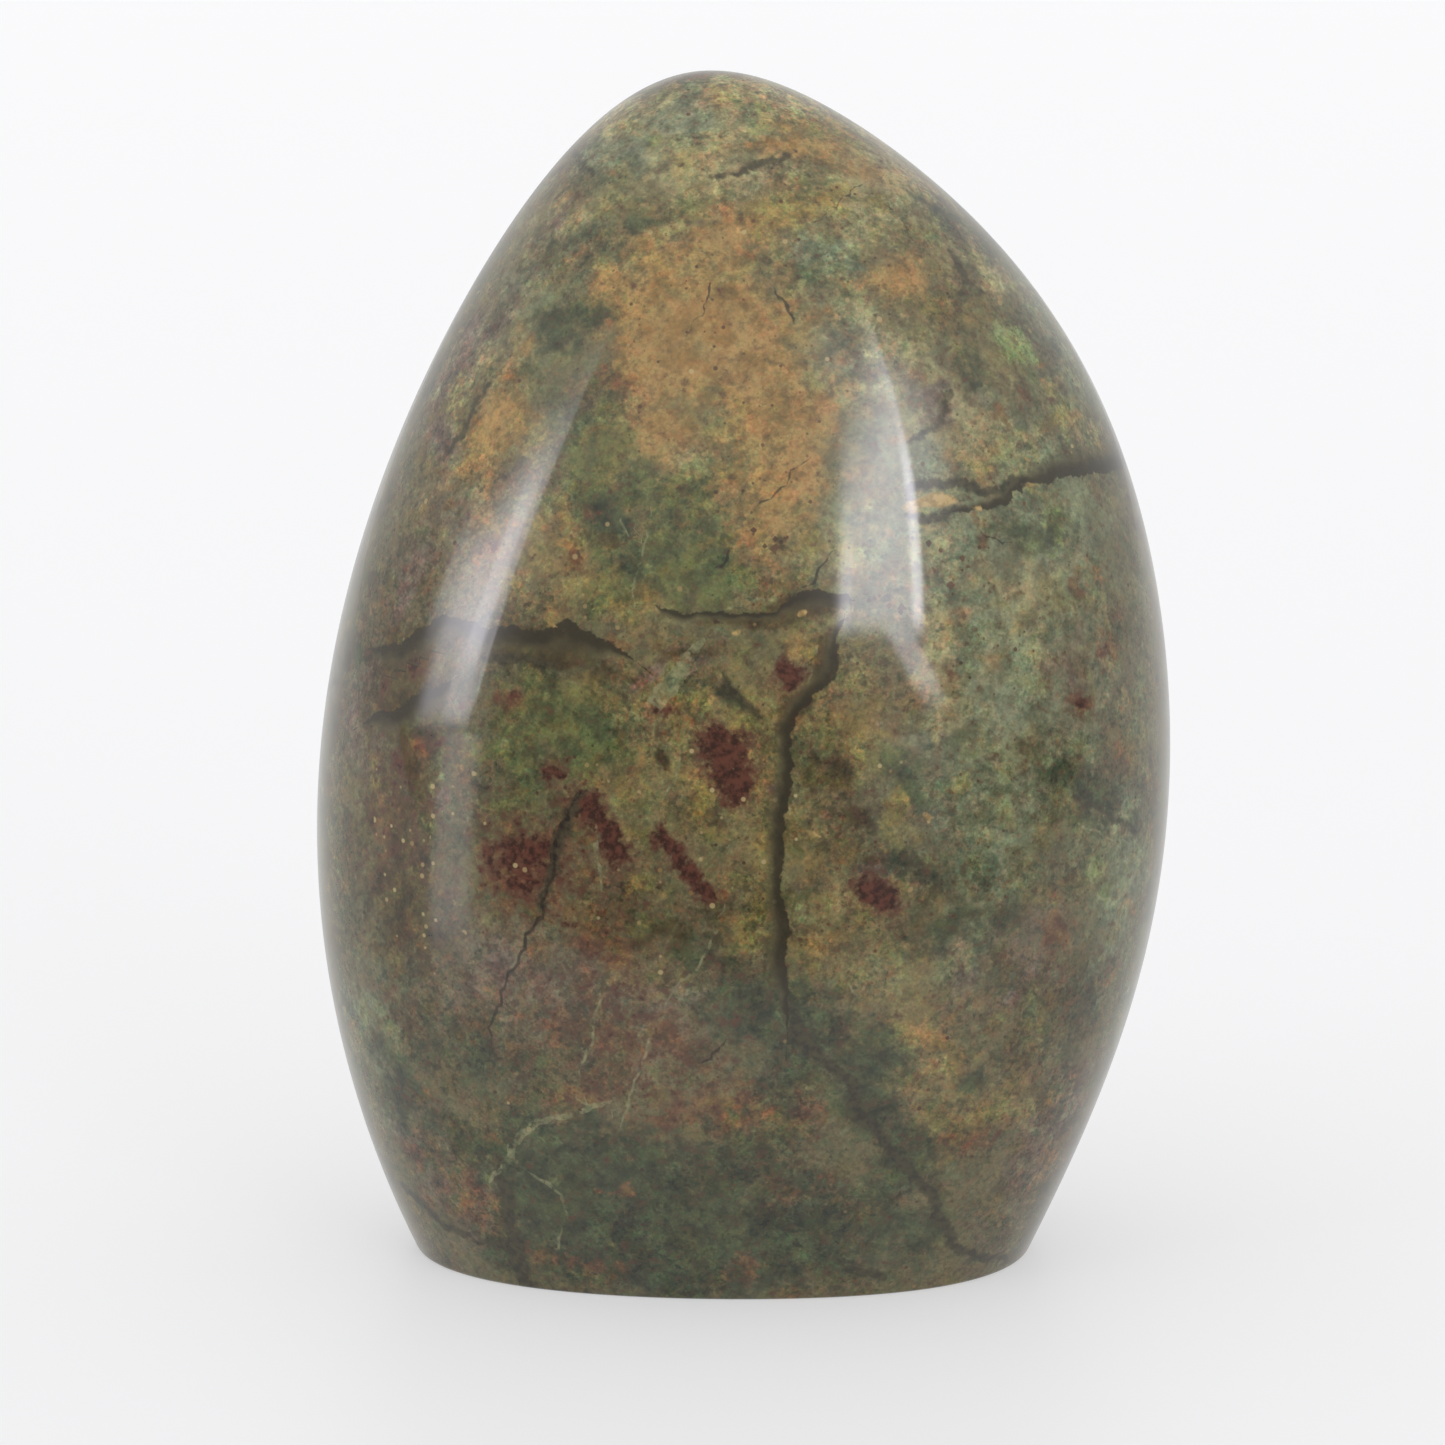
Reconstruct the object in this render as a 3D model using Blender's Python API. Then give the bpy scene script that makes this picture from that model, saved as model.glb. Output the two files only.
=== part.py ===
"""A polished freeform stone: a tall pebble of green and brown chrysoprase, ground smooth
all over and sawn flat underneath, so that it stands by itself.

It is one solid. Its form is a sphere drawn out to the reaches measured at nine levels,
then cut at the floor, and the sharp rim of the cut is eased. X runs to the stone's right,
+Y to its back and +Z up, and the origin is in the middle of its box, at the flat base.
"""

import math

import bmesh
import bpy
import numpy as np

MM = 0.001  # the sizes below are in millimetres

HEIGHT = 120.0
WAIST = 45.0  # height of the widest level, where the pebble's poles are centred
AXIS_X = -3.2  # the upright line under the top stands a little left of the middle

# How far the surface lies from the axis at each height.
# height, to the left, to the right, to the front, to the back
LEVELS = (
    (0.0, 30.4, 32.8, 21.5, 21.5),
    (15.0, 36.3, 39.4, 26.7, 26.7),
    (30.0, 39.1, 44.0, 30.0, 30.0),
    (45.0, 40.1, 46.3, 31.3, 31.3),
    (60.0, 38.7, 46.2, 30.8, 31.2),
    (75.0, 34.6, 43.5, 28.4, 29.4),
    (90.0, 28.4, 37.7, 24.0, 25.6),
    (105.0, 20.0, 26.6, 17.2, 18.6),
    (115.0, 11.3, 14.0, 9.7, 10.6),
)
PROFILE_DEGREE = 5  # of the smooth curves drawn through the levels

SQUARENESS = 0.02  # fullness of the section's four shoulders, against a plain oval
TWIST = 0.04  # turn of the section, one way above the waist and the other way below

RIM_EASE = 0.4  # width of the rounded edge around the flat base
RIM_STEPS = 2

AROUND = 72  # faces around the stone
POLE_TO_POLE = 48  # faces from the top down to where the uncut pebble would end

STONE_COLOUR = (0.135, 0.112, 0.052, 1.0)  # olive brown, linear
STONE_ROUGHNESS = 0.12


def profile(column):
    """A smooth curve for one column of LEVELS.

    It gives a reach divided by the ring radius of the unit sphere, as a function of the
    sphere's own height s, so that the surface closes round and smooth over the top.
    """
    heights = np.array([level[0] for level in LEVELS])
    reaches = np.array([level[column] for level in LEVELS])
    s = (heights - WAIST) / (HEIGHT - WAIST)
    ring = np.sqrt(1.0 - s**2)
    return np.polynomial.Polynomial.fit(s, reaches / ring, PROFILE_DEGREE, domain=[-1, 1])


LEFT, RIGHT, FRONT, BACK = (profile(column) for column in (1, 2, 3, 4))


def on_stone(ball_point):
    """The place on the uncut pebble, in metres, of a point of the unit sphere."""
    s = ball_point.z
    ring = math.sqrt(max(0.0, 1.0 - s * s))
    turn = math.atan2(ball_point.x, -ball_point.y)  # 0 at the front, growing to the right
    left, right, front, back = (ring * curve(s) for curve in (LEFT, RIGHT, FRONT, BACK))
    across = (math.sin(turn) + SQUARENESS * math.sin(3 * turn)) / (1 - SQUARENESS)
    forward = (math.cos(turn) - SQUARENESS * math.cos(3 * turn)) / (1 - SQUARENESS)
    forward -= TWIST * s * math.sin(2 * turn)
    x = AXIS_X + (right - left) / 2 + (right + left) / 2 * across
    y = (back - front) / 2 - (back + front) / 2 * forward
    z = WAIST + (HEIGHT - WAIST) * s
    return x * MM, y * MM, z * MM


def pebble():
    """The whole rounded pebble, as a mesh that reaches below the floor."""
    bm = bmesh.new()
    bmesh.ops.create_uvsphere(
        bm, u_segments=AROUND, v_segments=POLE_TO_POLE, radius=1.0
    )
    for vert in bm.verts:
        vert.co = on_stone(vert.co)
    return bm


def saw_flat(bm):
    """Cuts the pebble off at the floor and closes the cut with one flat face."""
    everything = bm.verts[:] + bm.edges[:] + bm.faces[:]
    cut = bmesh.ops.bisect_plane(
        bm, geom=everything, plane_co=(0, 0, 0), plane_no=(0, 0, -1), clear_outer=True
    )
    rim = [item for item in cut["geom_cut"] if isinstance(item, bmesh.types.BMEdge)]
    bmesh.ops.edgeloop_fill(bm, edges=rim)
    return rim


def ease_rim(bm, rim):
    """Rounds the edge where the flat base meets the side."""
    bmesh.ops.bevel(
        bm,
        geom=rim,
        offset=RIM_EASE * MM,
        offset_type="OFFSET",
        segments=RIM_STEPS,
        profile=0.5,
        affect="EDGES",
    )
    bmesh.ops.recalc_face_normals(bm, faces=bm.faces)


def polished_finish():
    """Olive brown stone with a glassy polish."""
    material = bpy.data.materials.new("polished_chrysoprase")
    material.use_nodes = True
    shader = material.node_tree.nodes["Principled BSDF"]
    shader.inputs["Base Color"].default_value = STONE_COLOUR
    shader.inputs["Roughness"].default_value = STONE_ROUGHNESS
    shader.inputs["Metallic"].default_value = 0.0
    return material


def make_stone():
    bm = pebble()
    rim = saw_flat(bm)
    ease_rim(bm, rim)
    mesh = bpy.data.meshes.new("stone")
    bm.to_mesh(mesh)
    bm.free()
    mesh.materials.append(polished_finish())
    mesh.shade_smooth()
    mesh.set_sharp_from_angle(angle=math.radians(40))
    stone = bpy.data.objects.new("stone", mesh)
    bpy.context.scene.collection.objects.link(stone)
    return stone


for old in list(bpy.data.objects):
    bpy.data.objects.remove(old)

make_stone()
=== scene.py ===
# %% [markdown]
# # A polished freeform of chrysoprase
# The real thing is one lump of mottled green and brown chalcedony. It was ground by eye to a
# tall rounded form, tumbled and buffed until it shone, and sawn flat underneath so that it
# stands by itself. This lesson gives it a smooth skin, the minerals that show in that skin,
# and the light that the polish mirrors.

import bpy
import numpy as np
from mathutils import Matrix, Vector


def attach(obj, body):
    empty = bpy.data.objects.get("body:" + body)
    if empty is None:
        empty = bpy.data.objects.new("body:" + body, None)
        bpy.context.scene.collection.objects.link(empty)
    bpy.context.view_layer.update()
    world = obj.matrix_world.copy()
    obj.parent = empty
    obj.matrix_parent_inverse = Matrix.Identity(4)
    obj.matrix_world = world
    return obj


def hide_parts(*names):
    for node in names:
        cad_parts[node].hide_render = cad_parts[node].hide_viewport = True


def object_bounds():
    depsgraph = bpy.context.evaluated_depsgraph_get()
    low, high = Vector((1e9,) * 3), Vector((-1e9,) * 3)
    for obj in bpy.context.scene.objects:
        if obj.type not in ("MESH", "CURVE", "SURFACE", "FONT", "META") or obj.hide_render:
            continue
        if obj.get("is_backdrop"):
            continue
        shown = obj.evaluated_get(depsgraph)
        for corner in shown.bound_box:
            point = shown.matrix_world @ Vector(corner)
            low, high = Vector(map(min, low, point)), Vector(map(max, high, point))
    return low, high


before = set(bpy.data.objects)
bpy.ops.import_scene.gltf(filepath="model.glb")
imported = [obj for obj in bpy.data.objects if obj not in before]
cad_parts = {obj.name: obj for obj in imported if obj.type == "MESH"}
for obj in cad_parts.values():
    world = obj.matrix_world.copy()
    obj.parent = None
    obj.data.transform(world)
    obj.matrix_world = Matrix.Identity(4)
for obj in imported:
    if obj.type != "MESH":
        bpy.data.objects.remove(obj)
cad_low, cad_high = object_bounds()
spans = [round(high - low, 4) for low, high in zip(cad_low, cad_high)]
print("the measured stone spans", spans, "m")

MM = 0.001  # sizes below are in millimetres, and Blender's unit is the metre

# %% [markdown]
# ## The camera
# A photograph of a thing this small is taken from about half a metre away, from a little
# above, with a lens long enough to fill the frame. The three numbers were found together, by
# moving the camera until the outline of the measured stone fell on the outline in the picture.

# %% Place the camera
CAMERA_PLACE = (-2.07, -480.0, 140.0)
CAMERA_DIPS = 10.12  # degrees that it looks down
LENS = 119.6  # mm, on a sensor 36 mm wide

camera_data = bpy.data.cameras.new("camera")
camera_data.lens = LENS
camera_data.sensor_width = 36.0
camera = bpy.data.objects.new("camera", camera_data)
camera.location = np.array(CAMERA_PLACE) * MM
camera.rotation_euler = (np.radians(90.0 - CAMERA_DIPS), 0.0, 0.0)
bpy.context.scene.collection.objects.link(camera)
bpy.context.scene.camera = camera
bpy.context.scene.view_settings.view_transform = "Standard"
print("the camera stands", round(float(np.linalg.norm(camera.location)), 3), "m from the stone")

# %% [markdown]
# ## Two helpers for colour and nodes
# Colours are written as they look on a screen, in sRGB hex, because they are easy to compare
# with a picture that way. Shaders add light, so they need the linear value. Every material is
# wired by one function that adds a node, sets it up and links what feeds it.

# %% Colour and node helpers
SOFT_STEP = {"interpolation_type": "SMOOTHSTEP"}  # setting of a map range with soft ends
TIMES_PLUS = {"operation": "MULTIPLY_ADD"}  # setting of a maths node for a * b + c


def linear(hex_colour):
    """An sRGB colour such as "#96764a" as linear red, green, blue and alpha.

    Each channel c from 0 to 1 becomes ((c + 0.055) / 1.055) ** 2.4, or c / 12.92 near black.
    """
    c = np.array([int(hex_colour[i : i + 2], 16) for i in (1, 3, 5)]) / 255
    bent = np.where(c <= 0.04045, c / 12.92, ((c + 0.055) / 1.055) ** 2.4)
    return (*bent.tolist(), 1.0)


def add(tree, kind, settings, feeds):
    """Adds a node to tree. settings are its own options, feeds its sockets by name or number.

    A feed is a plain value, or the output socket that is linked to it.
    """
    node = tree.nodes.new("ShaderNode" + kind)
    for name, value in settings.items():
        setattr(node, name, value)
    for socket, value in feeds.items():
        if isinstance(value, bpy.types.NodeSocket):
            tree.links.new(value, node.inputs[socket])
        else:
            node.inputs[socket].default_value = value
    return node


print("halfway to white on a screen is", round(linear("#808080")[0], 2), "of its light")


# %% [markdown]
# ## Light
# A polish shows what stands around it, so the room is half of the look. The stone stands on a
# white table in a white corner. Two tall windows light it from the front left and the front
# right, and the side behind the camera is dim. All of it is painted on the sky dome by
# compass direction and height, because a dome mirrors the same way from wherever it is seen.
# The camera itself sees the dome as plain white.

# %% The brightness of the room and its windows
# Directions are in degrees: the azimuth is 0 towards the camera and grows to the right, and
# the height is counted from the horizon.
ROOM_WHITE = 0.78
ROOM_DIM = 0.26
DIM_SIDE = (-0.8, 0.1)  # Y of a unit direction where the dim begins to lift, and has lifted
CEILING = 1.0
CEILING_RISES = (0.02, 0.5)  # Z of a unit direction where the ceiling begins, and is full
BACKGROUND = (0.972, 0.974, 0.984, 1.0)
# For each pane: azimuth of its sharp edge at the horizon, how far both edges lean per degree
# of height, azimuth of its other edge, blur of the two, lowest height, highest height at
# azimuth 0, how far the top edge rises per degree of azimuth, blur of the two, brightness.
PANES = {
    "left window": (-57.6, 0.47, -80.0, 0.8, 4.0, 1.0, 57.5, 0.6, 2.0, 9.0, 4.4),
    "left window, sunlit part": (-59.0, 0.47, -72.0, 1.5, 4.0, 9.0, 27.0, 0.0, 4.0, 5.0, 1.6),
    "left window, haze": (-68.0, 0.47, -87.0, 6.0, 3.0, 8.0, 18.0, 0.0, 3.0, 4.0, 3.2),
    "left window, sunlit edge": (-60.5, 0.47, -66.5, 1.0, 1.2, 7.0, 24.0, 0.0, 3.0, 4.0, 4.2),
    "left window, low sun": (-59.0, 0.3, -68.0, 2.0, 2.0, 1.0, 12.0, 0.0, 1.0, 4.0, 2.6),
    "left window, outer frame": (-56.8, 0.47, -57.8, 0.3, 0.3, 3.0, 13.0, 0.0, 1.0, 3.0, 3.5),
    "right window": (28.6, 0.22, 13.2, 0.8, 1.6, 10.0, 9.0, 0.85, 1.6, 7.0, 8.0),
    "right window, haze": (26.0, 0.4, 4.0, 6.0, 5.0, 33.0, 42.0, 0.0, 5.0, 5.0, 1.0),
    "right window, halo": (27.5, 0.22, 38.0, 1.5, 6.0, 22.0, 37.0, 0.0, 4.0, 4.0, 2.8),
    "right window, sunlit edge": (29.2, 0.22, 26.8, 0.5, 0.8, 10.0, 28.0, 0.0, 1.5, 4.0, 8.5),
    "right window, inner frame": (15.2, 0.22, 13.2, 0.5, 0.6, 10.2, 17.0, 0.0, 0.8, 2.5, 3.5),
    "right window, sill": (37.5, -0.9, 32.5, 1.2, 1.2, 3.5, 10.0, 0.0, 2.5, 1.0, 6.0),
}
FROM_WINDOWS = 0.35  # share of the panes' brightness that lights the room rather than mirrors
DAYLIGHT = (0.98, 0.965, 1.06)  # a little cooler than the white of the room
print("the room has", len(PANES), "panes of light")

# %% Find where each point of the dome lies


def compass(tree, place):
    """The azimuth in degrees of a place or direction, given as separate X, Y and Z outputs.

    It is atan2(X, -Y): 0 towards the camera, and growing to the right.
    """
    nearer = add(tree, "Math", {"operation": "MULTIPLY"}, {0: place["Y"], 1: -1.0}).outputs[0]
    turn = add(tree, "Math", {"operation": "ARCTAN2"}, {0: place["X"], 1: nearer}).outputs[0]
    return add(tree, "Math", {"operation": "DEGREES"}, {0: turn}).outputs[0]


world = bpy.data.worlds.new("room")
bpy.context.scene.world = world
world.use_nodes = True
dome = world.node_tree
dome.nodes.clear()

coordinates = add(dome, "TexCoord", {}, {})
aim = add(dome, "SeparateXYZ", {}, {0: coordinates.outputs["Generated"]}).outputs
azimuth = compass(dome, aim)
height = add(dome, "Math", {"operation": "ARCSINE"}, {0: aim["Z"]}).outputs[0]
height = add(dome, "Math", {"operation": "DEGREES"}, {0: height}).outputs[0]
print("finding the directions takes", len(dome.nodes), "nodes")

# %% Paint the room and the windows on it
walls = add(
    dome, "MapRange", SOFT_STEP,
    {"Value": aim["Y"], "From Min": DIM_SIDE[0], "From Max": DIM_SIDE[1],
     "To Min": ROOM_DIM, "To Max": ROOM_WHITE},
).outputs[0]
above = add(
    dome, "MapRange", SOFT_STEP,
    {"Value": aim["Z"], "From Min": CEILING_RISES[0], "From Max": CEILING_RISES[1]},
).outputs[0]
room = add(dome, "Mix", {"data_type": "FLOAT"}, {0: above, 2: walls, 3: CEILING}).outputs[0]

windows = 0.0
for pane in PANES.values():
    sharp, lean, far, sharp_blur, far_blur, low, high, rise, low_blur, high_blur, lit = pane
    leaning = add(dome, "Math", TIMES_PLUS, {0: height, 1: -lean, 2: azimuth}).outputs[0]
    rising = add(dome, "Math", TIMES_PLUS, {0: azimuth, 1: -rise, 2: height}).outputs[0]
    turned = 1.0 if sharp < far else -1.0
    # each edge passes on what the edges before it let through
    for value, edge, blur in (
        (leaning, sharp, turned * sharp_blur),
        (leaning, far, -turned * far_blur),
        (height, low, low_blur),
        (rising, high, -high_blur),
    ):
        span = {"Value": value, "From Min": edge - blur, "From Max": edge + blur, "To Max": lit}
        lit = add(dome, "MapRange", SOFT_STEP, span).outputs[0]
    windows = add(dome, "Math", {"operation": "ADD"}, {0: lit, 1: windows}).outputs[0]
print("with its windows the dome has", len(dome.nodes), "nodes")

# %% Let mirrors, the camera and the room see their own share of it
ray = add(dome, "LightPath", {}, {}).outputs
share = add(dome, "MapRange", {}, {"Value": ray["Is Glossy Ray"], "To Min": FROM_WINDOWS})
pouring = add(dome, "Math", {"operation": "MULTIPLY"}, {0: windows, 1: share.outputs[0]})
daylit = add(dome, "VectorMath", TIMES_PLUS, {0: pouring.outputs[0], 1: DAYLIGHT, 2: room})
sights = {0: ray["Is Camera Ray"], 6: daylit.outputs[0], 7: BACKGROUND}
shown = add(dome, "Mix", {"data_type": "RGBA"}, sights)
light = add(dome, "Background", {}, {"Color": shown.outputs[2]})
add(dome, "OutputWorld", {}, {"Surface": light.outputs[0]})
print("all in all the dome has", len(dome.nodes), "nodes")

# %% [markdown]
# ## The table
# A wide white board with a satin finish. It is only scenery, so it is marked as stage. It
# lies a hair below the stone, so that the two faces don't flicker into each other. For mirrored
# rays only, the board is painted dim from a hand's breadth before the stone towards the camera,
# a painted reflection of the dim room, and a painted strip of sun from the left window glows
# across it. Seen directly, the board stays plain. Half of the board's white is a glow of its
# own. It stands for the light that a big bright room throws in under things, and it keeps the
# shadow as faint as it really is.

# %% Lay the table
TABLE_SIZE = 40.0  # metres, so wide that its edge is never seen
TABLE_DROP = 0.02

reach = TABLE_SIZE / 2
level = -TABLE_DROP * MM
corners = [(x * reach, y * reach, level) for x, y in ((-1, -1), (1, -1), (1, 1), (-1, 1))]
table_mesh = bpy.data.meshes.new("table")
table_mesh.from_pydata(corners, [], [(0, 1, 2, 3)])
table = bpy.data.objects.new("table", table_mesh)
bpy.context.scene.collection.objects.link(table)
table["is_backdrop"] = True
print("the table is", TABLE_SIZE, "m wide")

# %% Paint the table white, and dim near the camera
TABLE_WHITE = "#afafb0"
TABLE_DIM = "#6b6b6d"
WHITE_ENDS = (-85.0, -130.0)  # where the white begins to fade towards the camera, and has faded

paint = bpy.data.materials.new("satin_white_paint")
paint.use_nodes = True
board = paint.node_tree
surface = board.nodes["Principled BSDF"]
surface.inputs["Roughness"].default_value = 0.5
surface.inputs["Specular IOR Level"].default_value = 0.2
spot = add(board, "TexCoord", {}, {}).outputs["Object"]
along = add(board, "SeparateXYZ", {}, {0: spot}).outputs
mirrored = add(board, "LightPath", {}, {}).outputs["Is Glossy Ray"]
# painted reflection: for mirrored rays only, the board darkens towards the camera
dim = add(
    board, "MapRange", SOFT_STEP,
    {"Value": along["Y"], "From Min": WHITE_ENDS[0] * MM, "From Max": WHITE_ENDS[1] * MM,
     "To Max": mirrored},
).outputs[0]
whites = {0: dim, 6: linear(TABLE_WHITE), 7: linear(TABLE_DIM)}
tone = add(board, "Mix", {"data_type": "RGBA"}, whites)
board.links.new(tone.outputs[2], surface.inputs["Base Color"])
table_mesh.materials.append(paint)
print("the table's white sends back", round(linear(TABLE_WHITE)[0], 2), "of the light")

# %% Give the table its glow and the strip of sun
GLOW = 0.437
GLOW_TINT = (1.0, 1.0, 1.012, 1.0)
SUN_STRIP = -59.0  # degrees of azimuth around the stone
SUN_SIDES = (9.0, 4.0)  # degrees beside the strip's middle where it has ended, and is full
SUN_BEGINS = (0.10, 0.16)  # metres from the middle of the stone where it begins, and is full
SUN_BRIGHTNESS = 1.7

around = compass(board, along)
aside = add(board, "Math", {"operation": "SUBTRACT"}, {0: around, 1: SUN_STRIP}).outputs[0]
aside = add(board, "Math", {"operation": "ABSOLUTE"}, {0: aside}).outputs[0]
away = add(board, "VectorMath", {"operation": "LENGTH"}, {0: spot}).outputs["Value"]
# painted reflection: the strip of sun glows for mirrored rays only
sun = mirrored
for value, (none, full) in ((aside, SUN_SIDES), (away, SUN_BEGINS)):
    span = {"Value": value, "From Min": none, "From Max": full, "To Max": sun}
    sun = add(board, "MapRange", SOFT_STEP, span).outputs[0]
glow = add(board, "Math", TIMES_PLUS, {0: dim, 1: -GLOW, 2: GLOW}).outputs[0]
shining = add(board, "Math", TIMES_PLUS, {0: sun, 1: SUN_BRIGHTNESS, 2: glow}).outputs[0]
surface.inputs["Emission Color"].default_value = GLOW_TINT
board.links.new(shining, surface.inputs["Emission Strength"])
print("the table's paint is wired from", len(board.nodes), "nodes")

# %% [markdown]
# ## The form of the stone
# Take a ball. Every level of it is a ring, and each ring is stretched to the reaches that the
# real stone has there: to the left, the right, the front and the back. The reaches are known
# at nine levels only, so a smooth curve is drawn through them. The curve is fitted to the
# reach divided by the ball's own ring, because that keeps the top round and not pointed.

# %% The stone's reaches
HEIGHT = 120.0
WAIST = 45.0  # height of the widest level, where the ball's middle is
AXIS_X = -3.2  # the upright line under the top stands a little left of the middle
# height, reach to the left, to the right, to the front, to the back
LEVELS = np.array(
    (
        (0.0, 30.4, 32.8, 21.5, 21.5),
        (15.0, 36.3, 39.4, 26.7, 26.7),
        (30.0, 39.1, 44.0, 30.0, 30.0),
        (45.0, 40.1, 46.3, 31.3, 31.3),
        (60.0, 38.7, 46.2, 30.8, 31.2),
        (75.0, 34.6, 43.5, 28.4, 29.4),
        (90.0, 28.4, 37.7, 24.0, 25.6),
        (105.0, 20.0, 26.6, 17.2, 18.6),
        (115.0, 11.3, 14.0, 9.7, 10.6),
    )
)
PROFILE_DEGREE = 5
SQUARENESS = 0.02  # fullness of the section's four shoulders, against a plain oval
TWIST = 0.04  # turn of the section, one way above the waist and the other way below

ball_heights = (LEVELS[:, 0] - WAIST) / (HEIGHT - WAIST)
ball_rings = np.sqrt(1 - ball_heights**2)
fit = np.polynomial.Polynomial.fit
LEFT, RIGHT, FRONT, BACK = (
    fit(ball_heights, column / ball_rings, PROFILE_DEGREE, domain=[-1, 1])
    for column in LEVELS[:, 1:].T
)
print("a curve of degree", PROFILE_DEGREE, "runs through", len(LEVELS), "levels on each side")


def skin(s, turn):
    """Places on the stone, in mm, for heights s on the unit ball and turns in radians.

    The turn is 0 at the front and grows to the right. With ring = sqrt(1 - s^2), x runs
    between -left and right as sin(turn), y between -front and back as -cos(turn), each a
    little squared up by its third harmonic, and z = waist + (height - waist) * s.
    """
    ring = np.sqrt(np.maximum(1 - s**2, 0))
    left, right, front, back = (ring * reach(s) for reach in (LEFT, RIGHT, FRONT, BACK))
    across = (np.sin(turn) + SQUARENESS * np.sin(3 * turn)) / (1 - SQUARENESS)
    forward = (np.cos(turn) - SQUARENESS * np.cos(3 * turn)) / (1 - SQUARENESS)
    forward = forward - TWIST * s * np.sin(2 * turn)
    x = AXIS_X + (right - left) / 2 + (right + left) / 2 * across
    y = (back - front) / 2 - (back + front) / 2 * forward
    z = WAIST + (HEIGHT - WAIST) * s
    return np.stack(np.broadcast_arrays(x, y, z), axis=-1)


# %% [markdown]
# ## The skin as one grid
# The wall is a grid of rows from the top to the table and columns around the stone. The row
# at the table turns in under the stone through a small round, as the maker eases a sawn edge
# so that it doesn't chip, and rings of the flat base close it.

# %% Work out the grid
AROUND = 400
WALL_ROWS = 214
RIM_ROWS = 4
BASE_ROWS = 10
RIM_EASE = 0.4

turns = np.linspace(0, 2 * np.pi, AROUND, endpoint=False)
last_fall = np.arccos(-WAIST / (HEIGHT - WAIST))  # angle from the top to where the table cuts
falls = np.linspace(0, last_fall, WALL_ROWS + 1)[1:]
wall = skin(np.cos(falls)[:, None], turns[None, :])

foot = wall[-1]
up_the_wall = wall[-2] - foot
up_the_wall *= RIM_EASE / np.linalg.norm(up_the_wall, axis=-1, keepdims=True)
inward = foot * (1, 1, 0)
inward *= -RIM_EASE / np.linalg.norm(inward, axis=-1, keepdims=True)
way = np.linspace(0, 1, RIM_ROWS + 1)[:, None, None]
rim = (1 - way) ** 2 * (foot + up_the_wall) + 2 * way * (1 - way) * foot
rim = rim + way**2 * (foot + inward)

shrink = np.linspace(1, 0, BASE_ROWS + 1)[1:-1, None, None]
base = rim[-1] * shrink
grid = np.concatenate([wall[:-1], rim, base])
top = skin(np.array([1.0]), np.array([0.0]))
places = np.concatenate([top, grid.reshape(-1, 3), [[0.0, 0.0, 0.0]]])
print("the skin has", len(grid), "rows of", AROUND, "points")

# %% Join the grid into faces
rows = len(grid)
first = 1 + np.arange(rows - 1)[:, None] * AROUND
here = np.arange(AROUND)[None, :]
beyond = (here + 1) % AROUND
quads = np.stack(
    [first + here, first + AROUND + here, first + AROUND + beyond, first + beyond], axis=-1
).reshape(-1, 4)
cap = np.stack([np.zeros(AROUND, int), 1 + here[0], 1 + beyond[0]], axis=-1)
final_row = 1 + (rows - 1) * AROUND
centre = np.full(AROUND, len(places) - 1)
plug = np.stack([final_row + beyond[0], final_row + here[0], centre], axis=-1)

stone_mesh = bpy.data.meshes.new("polished_stone")
stone_mesh.from_pydata(places * MM, [], cap.tolist() + quads.tolist() + plug.tolist())
stone_mesh.shade_smooth()
stone = bpy.data.objects.new("polished_stone", stone_mesh)
bpy.context.scene.collection.objects.link(stone)
print("the skin has", len(stone_mesh.polygons), "faces")

# %% [markdown]
# ## Finding a place on the stone
# The minerals are laid where they lie on the real stone, so each one needs a place on the
# skin. On the front a place is read as x and z, as on a drawing of the face. Anywhere else
# it is a turn around the stone and a height. Both end up as a turn and a height s on the ball,
# from which the skin's formula gives the point, and two small steps give the way across and
# the way up.

# %% Places and directions on the skin
HALVINGS = 25
STEP = 1e-3  # on the ball, whose radius is 1


def turn_on_front(x, z):
    """The turn at which the front of the stone has the given x, at height z.

    x grows steadily with the turn between -90 and 90 degrees, so halving that span again
    and again closes in on it.
    """
    s = (z - WAIST) / (HEIGHT - WAIST)
    low = np.full_like(s, -np.pi / 2)
    high = -low
    for _ in range(HALVINGS):
        middle = (low + high) / 2
        short = skin(s, middle)[..., 0] < x
        low = np.where(short, middle, low)
        high = np.where(short, high, middle)
    return low


def lie(turn, z):
    """The point at a turn and height, and unit vectors across and up the skin there."""
    s = (z - WAIST) / (HEIGHT - WAIST)
    across = skin(s, turn + STEP) - skin(s, turn - STEP)
    up = skin(s + STEP, turn) - skin(s - STEP, turn)
    across /= np.linalg.norm(across, axis=-1, keepdims=True)
    up -= across * np.sum(up * across, axis=-1, keepdims=True)
    up /= np.linalg.norm(up, axis=-1, keepdims=True)
    return skin(s, turn), across, up


def where(first, z, on_front):
    """lie() for a place given as x and z on the front, or as degrees and z around the stone."""
    turn = turn_on_front(first, z) if on_front else np.radians(first)
    return lie(turn, z)


print("a place is found to", 180 / 2**HALVINGS, "degrees around the stone")


# %% [markdown]
# ## Minerals in patches
# Chrysoprase forms in weathered serpentine, among iron ochre, clay and moss-green nickel
# minerals, so it is clouded by all of them. Each mineral is a list of soft patches that melt
# into one field between 0 and 1, and the field is kept on the mesh as an attribute. The
# shader later frays the edges of the clouds, which keeps them sharp at any size.

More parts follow.
